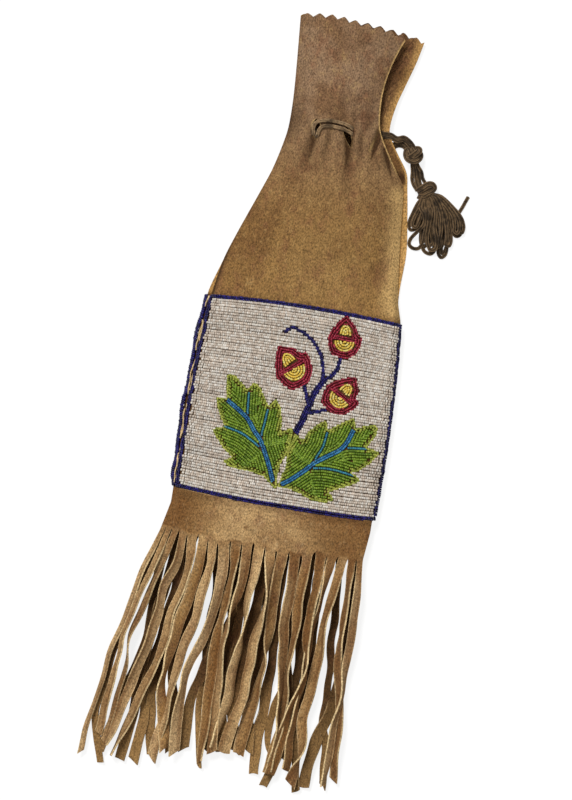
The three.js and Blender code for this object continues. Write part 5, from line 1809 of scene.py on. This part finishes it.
@dataclass
class Beadwork:
    """Seed beads sewn to both faces in rows, with a plant in colours on the front."""

    glass: bpy.types.Material
    draw: np.random.Generator  # source of unevenness
    row: float = 1.97  # distance between the ground's rows
    bead_radius: float = 0.86
    bead_fill: float = 1.1  # length of a bead over its pitch, so that beads meet
    bead_seat: float = 0.95  # height of a bead's middle over its face, in radii
    ground_size: float = 1.19
    plant_row: float = 1.92  # distance between a leaf's rows
    leaf_rows: int = 18  # more than fit on either side of a vein
    olive: float = 3.4  # width of the paler band inside a leaf's edge
    inset: float = 0.8  # distance of an outline's own row from the outline
    tuck: float = 0.35  # how far the ground's rows run in under the plant's edge
    border_rows_at: tuple[float, float] = (0.65, 1.95)  # distances of the border's rows from the edge
    stitch: float = 1.5  # distance between the bound edge's stitches

    def front_face(self, flat: Array) -> Array:
        """A point of the flat panel on the front hide, flared, bowed and rolled with it."""
        x, y = flat.T
        bowed = FORM.bowed(x, y)
        return together(x * FORM.flare(y), bowed, FORM.front_over(x / FORM.panel_half, bowed) + FORM.gap)

    def back_face(self, flat: Array) -> Array:
        """A point of the flat panel under the back hide, whose left side overhangs."""
        x, y = flat.T
        share = (FORM.panel_half - x) / (2 * FORM.panel_half)
        return together(x * FORM.flare(y) - FORM.overhang * share, y, FORM.bead)

    def sew(
        self, name: str, slot: str, nodes: Iterable[str], rows: BeadRows,
        size: float = 1.0, flank: float = 0.42, behind: bool = False,
    ) -> None:
        """Makes a field of beads, each a closed barrel lying along its row.

        Args:
            name: Name of the piece.
            slot: Its material slot.
            nodes: Solids that it stands for.
            rows: The beads.
            size: Share of the usual size.
            flank: Share of their painted brightness that the beads keep at their flanks, as painted shade.
            behind: True for beads under the back hide, which are made with fewer faces.
        """
        face, up, sides = (self.back_face, -1, 6) if behind else (self.front_face, 1, 8)
        spots, ways, shades = (np.concatenate(part) for part in zip(*rows.runs))
        here, small = face(spots), 0.05
        along = unit(face(spots + small * ways) - here)
        across = unit(face(spots + small * together(-ways[:, 1], ways[:, 0])) - here)
        above = up * unit(np.cross(along, across))
        axes = along, np.cross(above, along), above
        radius = size * self.bead_radius * self.draw.normal(1.0, 0.045, (len(spots), 1))
        length = rows.pitch * self.bead_fill * self.draw.normal(1.0, 0.04, (len(spots), 1))
        middle = here + above * self.bead_radius * self.bead_seat
        piece = bead_mesh(name, middle, axes, radius, length, shades, sides, self.glass, flank)
        place(piece, slot, *nodes)

    def build(self) -> None:
        """Makes the front's plant, ground and border, then the plain back."""
        rows = self.ground_rows(self.plant())
        size = self.ground_size
        self.sew("front_ground_beads", "white_beads", ["front_bead_ground"], rows, size, 0.92)
        self.border("front", ("top", "bottom", "left", "right"), 0.95, 0.72)
        rows = self.ground_rows()
        self.sew("back_ground_beads", "white_beads", ["back_bead_ground"], rows, size, 0.92, True)
        self.border("back", ("top", "bottom", "right"), 0.9, 0.42)
        self.bound_edge()

    def plant(self) -> list[tuple[Array, float]]:
        """Makes the leaves, stem and acorns.

        Returns:
            Closed outlines, or open lines with their half width, that the ground stays clear of.
        """
        solid = []
        for side, outline, veins in (("left", LEFT_LEAF, LEFT_VEINS), ("right", RIGHT_LEAF, RIGHT_VEINS)):
            solid.append(on_panel(outline))
            self.leaf(side, solid[-1], [smooth_path(on_panel(vein), 0.5) for vein in veins])
        for name, centre, turn, size in ACORNS:
            solid.append(self.acorn(name, centre, math.radians(turn), size * ACORN_REACH))
        clear = [(closed(outline), 0.0) for outline in solid]
        rows = BeadRows(self.draw, 1.36)
        for points, count, gap in STEM_LINES:
            line = smooth_path(on_panel(points), 0.4)
            clear.append((line, count * gap / 2))
            for k in range(count):
                rows.add(beside(line, (k - (count - 1) / 2) * gap), Shade.NAVY)
        rows.drop(lambda spots: np.any([inside(spots, outline) for outline in solid], axis=0))
        self.sew("stem_beads", "navy_beads", ["stem"], rows, 1.0, 0.7)
        return clear

    def leaf(self, side: str, outline: Array, veins: list[Array]) -> None:
        """A leaf: a pale row inside its outline, two rows on its main vein and one on each other vein.

        A green row is a vein's line moved aside by a whole number of rows. It is kept where that vein is
        the nearest one and the outline's own row is clear, and it is paler near the outline.

        Args:
            side: Name of the leaf.
            outline: Its outline.
            veins: Lines of its veins, main one first.
        """
        rows, lines = BeadRows(self.draw, 1.36), BeadRows(self.draw, 1.3)
        edge = spaced(closed(outline), 0.4)
        path = beside(edge, self.inset)
        rows.add(path, Shade.LIME, inside(path, outline) & (distance(path, edge) > self.inset - 0.2))
        runs = [spaced(lengthened(vein, 0.0 if i else 9.0, 18.0), 0.5) for i, vein in enumerate(veins)]
        halves = [1.6] + [0.95] * (len(veins) - 1)
        for number, (vein, run, half) in enumerate(zip(veins, runs, halves)):
            for sign in (-1, 1):
                if sign > 0 or not number:
                    trace = spaced(lengthened(vein, 0.0, 2.0 if number else 0.8), 0.5)
                    trace = trace if number else beside(trace, sign * half / 2)
                    kept = inside(trace, outline)
                    for other in range(number):
                        kept &= distance(trace, veins[other]) >= halves[other] + 0.5
                    lines.add(trace, Shade.TEAL if number else Shade.BLUE, kept)
                for k in range(self.leaf_rows):
                    off = half + 0.1 + (k + 0.5) * self.plant_row
                    trace = beside(run, sign * off)
                    far = distance(trace, edge)
                    kept = inside(trace, outline) & (far > self.inset + 0.5)
                    kept &= distance(trace, run) > off - 0.15
                    for other in set(range(len(veins))) - {number}:
                        kept &= distance(trace, runs[other]) > off - 0.85
                        kept &= distance(trace, veins[other]) > 1.6
                    rows.add(trace, Shade.GREEN, kept & (far > self.olive))
                    rows.add(trace, Shade.OLIVE, kept & (far <= self.olive))
        self.sew(f"{side}_leaf_beads", "green_beads", [f"{side}_leaf"], rows, 1.14)
        self.sew(f"{side}_vein_beads", "blue_beads", [f"{side}_leaf_veins"], lines, 1.04)

    def acorn(self, name: str, centre: tuple[float, float], turn: float, reach: float) -> Array:
        """An acorn: red rows inside its outline and across its middle, yellow arcs for its nut and cup.

        Args:
            name: Name of the acorn.
            centre: Its middle, in thousandths of the panel.
            turn: Its turn in radians.
            reach: Distance from its middle to its tip.

        Returns:
            Its outline on the flat panel.
        """
        spin = np.array([[math.cos(turn), math.sin(turn)], [-math.sin(turn), math.cos(turn)]])
        middle = on_panel([centre])

        def laid(x: Any, y: Any) -> Array:
            """Points of the acorn's own axes on the flat panel."""
            return together(x, y) @ spin + middle

        outline = laid(*(np.array(ACORN_OUTLINE) * reach).T)
        edge = spaced(closed(outline), 0.4)
        arc = np.linspace(0, np.pi, 40)
        red, yellow = BeadRows(self.draw, 1.36), BeadRows(self.draw, 1.34)
        hearts = []
        for base, half, rise in ((0.06, 0.27, 0.46), (-0.17, 0.47, -0.48)):
            up, foot = np.sign(rise), base * reach
            for k in range(5):
                off = 0.75 + self.plant_row * k
                wide, tall = half * reach - off, up * (abs(rise) * reach - off)
                if wide > 0.3:
                    line = laid(wide * np.cos(arc), foot + 0.5 * up + tall * np.sin(arc))
                    yellow.add(line, Shade.YELLOW)
                elif wide > -1.2:
                    core = np.linspace(0.4, max(1.2, abs(tall) + 0.9), 12) * up
                    yellow.add(laid(0.0, foot + core), Shade.YELLOW)
            hearts.append(laid(half * reach * np.cos(arc), foot + rise * reach * np.sin(arc)))
        for k in range(4):
            off = 0.75 + 1.85 * k
            trace = beside(edge, off)
            kept = inside(trace, outline) & (distance(trace, edge) > off - 0.2)
            for heart in hearts:
                kept &= ~inside(trace, heart) & (distance(trace, closed(heart)) > 0.6)
            red.add(trace, Shade.RED, kept)
        for off in (-0.85, 0.9):
            trace = laid(np.linspace(-0.8, 0.8, 60) * reach, -0.09 * reach + off)
            red.add(trace, Shade.RED, inside(trace, outline) & (distance(trace, edge) > 3.6))
        self.sew(f"{name}_acorn_beads", "red_beads", [f"{name}_acorn"], red)
        nodes = [f"{name}_acorn_nut", f"{name}_acorn_cup"]
        self.sew(f"{name}_acorn_heart_beads", "yellow_beads", nodes, yellow, 1.0, 0.64)
        return outline

    def ground_rows(self, clear: Sequence[tuple[Array, float]] = ()) -> BeadRows:
        """Rows across the flat panel inside its border, each run filled between edges of the plant.

        Args:
            clear: Closed outlines, or open lines with their half width, that the rows stay clear of.

        Returns:
            The rows.
        """
        rows = BeadRows(self.draw, 1.42, 1.5)
        half, top = FORM.panel_half - 2.6, FORM.panel_top - 3.5
        x = np.linspace(-half, half, 560)
        for y in np.linspace(-top, top, int(round(2 * top / self.row)) + 1):
            wander = 0.14 * np.sin(x / 15 + self.draw.uniform(0, 6)) + self.draw.normal(0, 0.06)
            line = together(x, y + wander)
            kept = np.ones(len(x), bool)
            for edge, half_width in clear:
                if half_width:
                    kept &= distance(line, edge) > half_width
                else:
                    kept &= ~inside(line, edge[:-1]) | (distance(line, edge) < self.tuck)
            kept &= x > self.draw.uniform(-0.75, 0.0) - half + 0.75
            kept &= x < half - 0.35 + self.draw.uniform(0.0, 0.75)
            rows.add(line, Shade.WHITE, kept)
        return rows

    def border(self, face: str, sides: Sequence[str], size: float, flank: float) -> None:
        """A dark blue border: two wavering rows along each named side of the flat panel.

        Args:
            face: Name of the face, front or back.
            sides: The sides, of which a left one wavers most.
            size: Share of the beads' usual size.
            flank: Share of their painted brightness that the beads keep at their flanks, as painted shade.
        """
        rows = BeadRows(self.draw, 1.3)
        half, top = FORM.panel_half, FORM.panel_top
        t = np.linspace(-1, 1, 120)
        for off in self.border_rows_at:
            lines = {
                "top": together(t * (half - 0.4), top - off),
                "bottom": together(t * (half - 0.4), off - top),
                "left": together(off - half, t * (top - 2.6)),
                "right": together(half - off, t * (top - 2.6)),
            }
            for side in sides:
                wander = 0.16 * np.sin(t * 31 + self.draw.uniform(0, 6))
                wander = wander + 0.1 * np.sin(t * 83 + self.draw.uniform(0, 6))
                if side == "left":
                    wander = wander + 0.5 * np.sin(11 * t + 1) + 0.35 * np.sin(23 * t)
                rows.add(lines[side] + 0.7 * wander[:, None], Shade.NAVY)
        nodes = [f"{face}_border_{side}" for side in sides]
        self.sew(f"{face}_border_beads", "navy_beads", nodes, rows, size, flank, face == "back")

    def bound_edge(self) -> None:
        """Stitches of three beads each, wrapped round the back hide's wavering left edge beside the panel.

        The beads of a stitch stand on an arc about the edge: its reach times cosine and sine of angles
        from above the hide round to below it.
        """
        y = np.arange(-FORM.panel_top, FORM.panel_top, self.stitch)
        angle = np.radians([80, 165, 255])
        cos, sin = np.cos(angle), np.sin(angle)
        sway = 0.35 * np.sin(y / 4.4 + 1) + 0.55 * np.sin(y / 9.3)
        sway = sway + 1.9 * (1 - ease(y, -FORM.panel_top, -FORM.panel_top + 10))
        edge = (FORM.back_left(y) - 0.3 + sway + self.draw.normal(0, 0.14, len(y)))[:, None]
        z = np.maximum(FORM.bead + FORM.gap + FORM.hide / 2 + 1.35 * sin, 0.62)
        middle = together(edge + 0.85 * cos, y[:, None] + 0.2 * cos, z).reshape(-1, 3)
        along = np.tile(unit(together(-sin, 0.25, cos)), (len(y), 1))
        across = unit(np.cross(np.tile(unit(together(cos, 0.0, sin)), (len(y), 1)), along))
        palette = Shade.NAVY.palette
        shades = palette[self.draw.integers(0, len(palette), len(middle))]
        axes, size = (along, across, np.cross(along, across)), np.ones((len(middle), 1))
        piece = bead_mesh(
            "back_edge_beads", middle, axes, 0.98 * size, 1.8 * size, shades, 8, self.glass, 0.75
        )
        place(piece, "navy_beads", "back_border_left")


# Studio


@dataclass(frozen=True)
class Studio:
    """Floor, light and camera. The camera looks straight down with a long lens, turned with the bag."""

    middle: tuple[float, float] = (-4.3, 3.1)
    turn: float = 8.97
    view_long: float = 600.0
    level: float = 10.0
    distance: float = 2600.0
    sensor: float = 36.0
    floor_half: float = 6000.0
    room_light: float = 0.46
    window_light: float = 1.9
    window_spread: float = 18.0
    window_tilt: tuple[float, float, float] = (-30.0, -24.0, 0.0)  # from straight down

    def build(self) -> None:
        """Makes the floor, the lights and the camera."""
        half = self.floor_half
        corners = np.array([[-half, -half, 0], [half, -half, 0], [half, half, 0], [-half, half, 0]], float)
        floor = make_piece("studio_floor", corners, [np.array([[0, 1, 2, 3]])], [PaleFloor().make()])
        scene = bpy.context.scene
        scene.view_settings.view_transform = "Standard"
        world = bpy.data.worlds.new("soft_white_room")
        world.use_nodes = True
        background = world.node_tree.nodes["Background"].inputs
        background["Color"].default_value = linear("#ffffff")
        background["Strength"].default_value = self.room_light
        scene.world = world
        light = bpy.data.lights.new("window_light", "SUN")
        light.energy = self.window_light
        light.angle = math.radians(self.window_spread)
        lamp = bpy.data.objects.new("window_light", light)
        lamp.rotation_euler = [math.radians(angle) for angle in self.window_tilt]
        lens = bpy.data.cameras.new("copy_camera")
        lens.sensor_width = self.sensor
        lens.lens = self.sensor * self.distance / self.view_long
        lens.clip_end = 100.0
        camera = bpy.data.objects.new("copy_camera", lens)
        camera.location = (self.middle[0] * MM, self.middle[1] * MM, (self.level + self.distance) * MM)
        camera.rotation_euler = (0.0, 0.0, math.radians(self.turn))
        for thing in (lamp, camera):
            scene.collection.objects.link(thing)
        scene.camera = camera


def main() -> None:
    """Builds the studio and the bag, piece by piece."""
    logging.basicConfig(level=logging.INFO, format="%(message)s")
    Studio().build()
    rubbed_cord = FoldedCord("rubbed_cotton_cord", "#b09069", "#1c120a", fold=0.3).make()
    Drawstring(FoldedCord().make(), rubbed_cord).build()
    hide = SmokedSuede("smoked_suede").make()
    flesh = SmokedSuede("hide_flesh_side", "#97693a", "#7c5a3a", "#5d3d20", "#d6a763").make()
    cut = "#cdab79", "#bd9f79", "#a3814f", "#e0c493", "#8b6a42"
    edge = SmokedSuede("cut_hide_edge", *cut, relief=0.3).make()
    Hides(hide, flesh, edge).build()
    lit = "#a67f4d", "#a67f4d", "#845e36", "#e4c492", "#613710"
    golden = SmokedSuede("golden_suede", *lit, patch=30.0).make()
    # Darker copies of the golden suede and of the cut edge: painted shade for the back fringe under the front
    # one.
    dim = "#5a3c1e", "#5a3c1e", "#46290f", "#a5804f", "#1c0f06"
    shaded = SmokedSuede("shaded_suede", *dim, patch=30.0).make()
    dark_edge = SmokedSuede("shaded_hide_edge", "#7c5b36", "#7c5b36", "#5f4122", "#c9a878", "#2c1a0c").make()
    back_draw, front_draw, bead_draw = (np.random.default_rng(seed) for seed in (21, 5, 11))
    Fringe(shaded, dark_edge, golden, Layer.BACK, back_draw, BACK_STRIPS).build()
    Fringe(golden, edge, golden, Layer.FRONT, front_draw, FRONT_STRIPS).build()
    Beadwork(SeedBeadGlass("seed_bead_glass").make(), bead_draw).build()


if __name__ == "__main__":
    main()
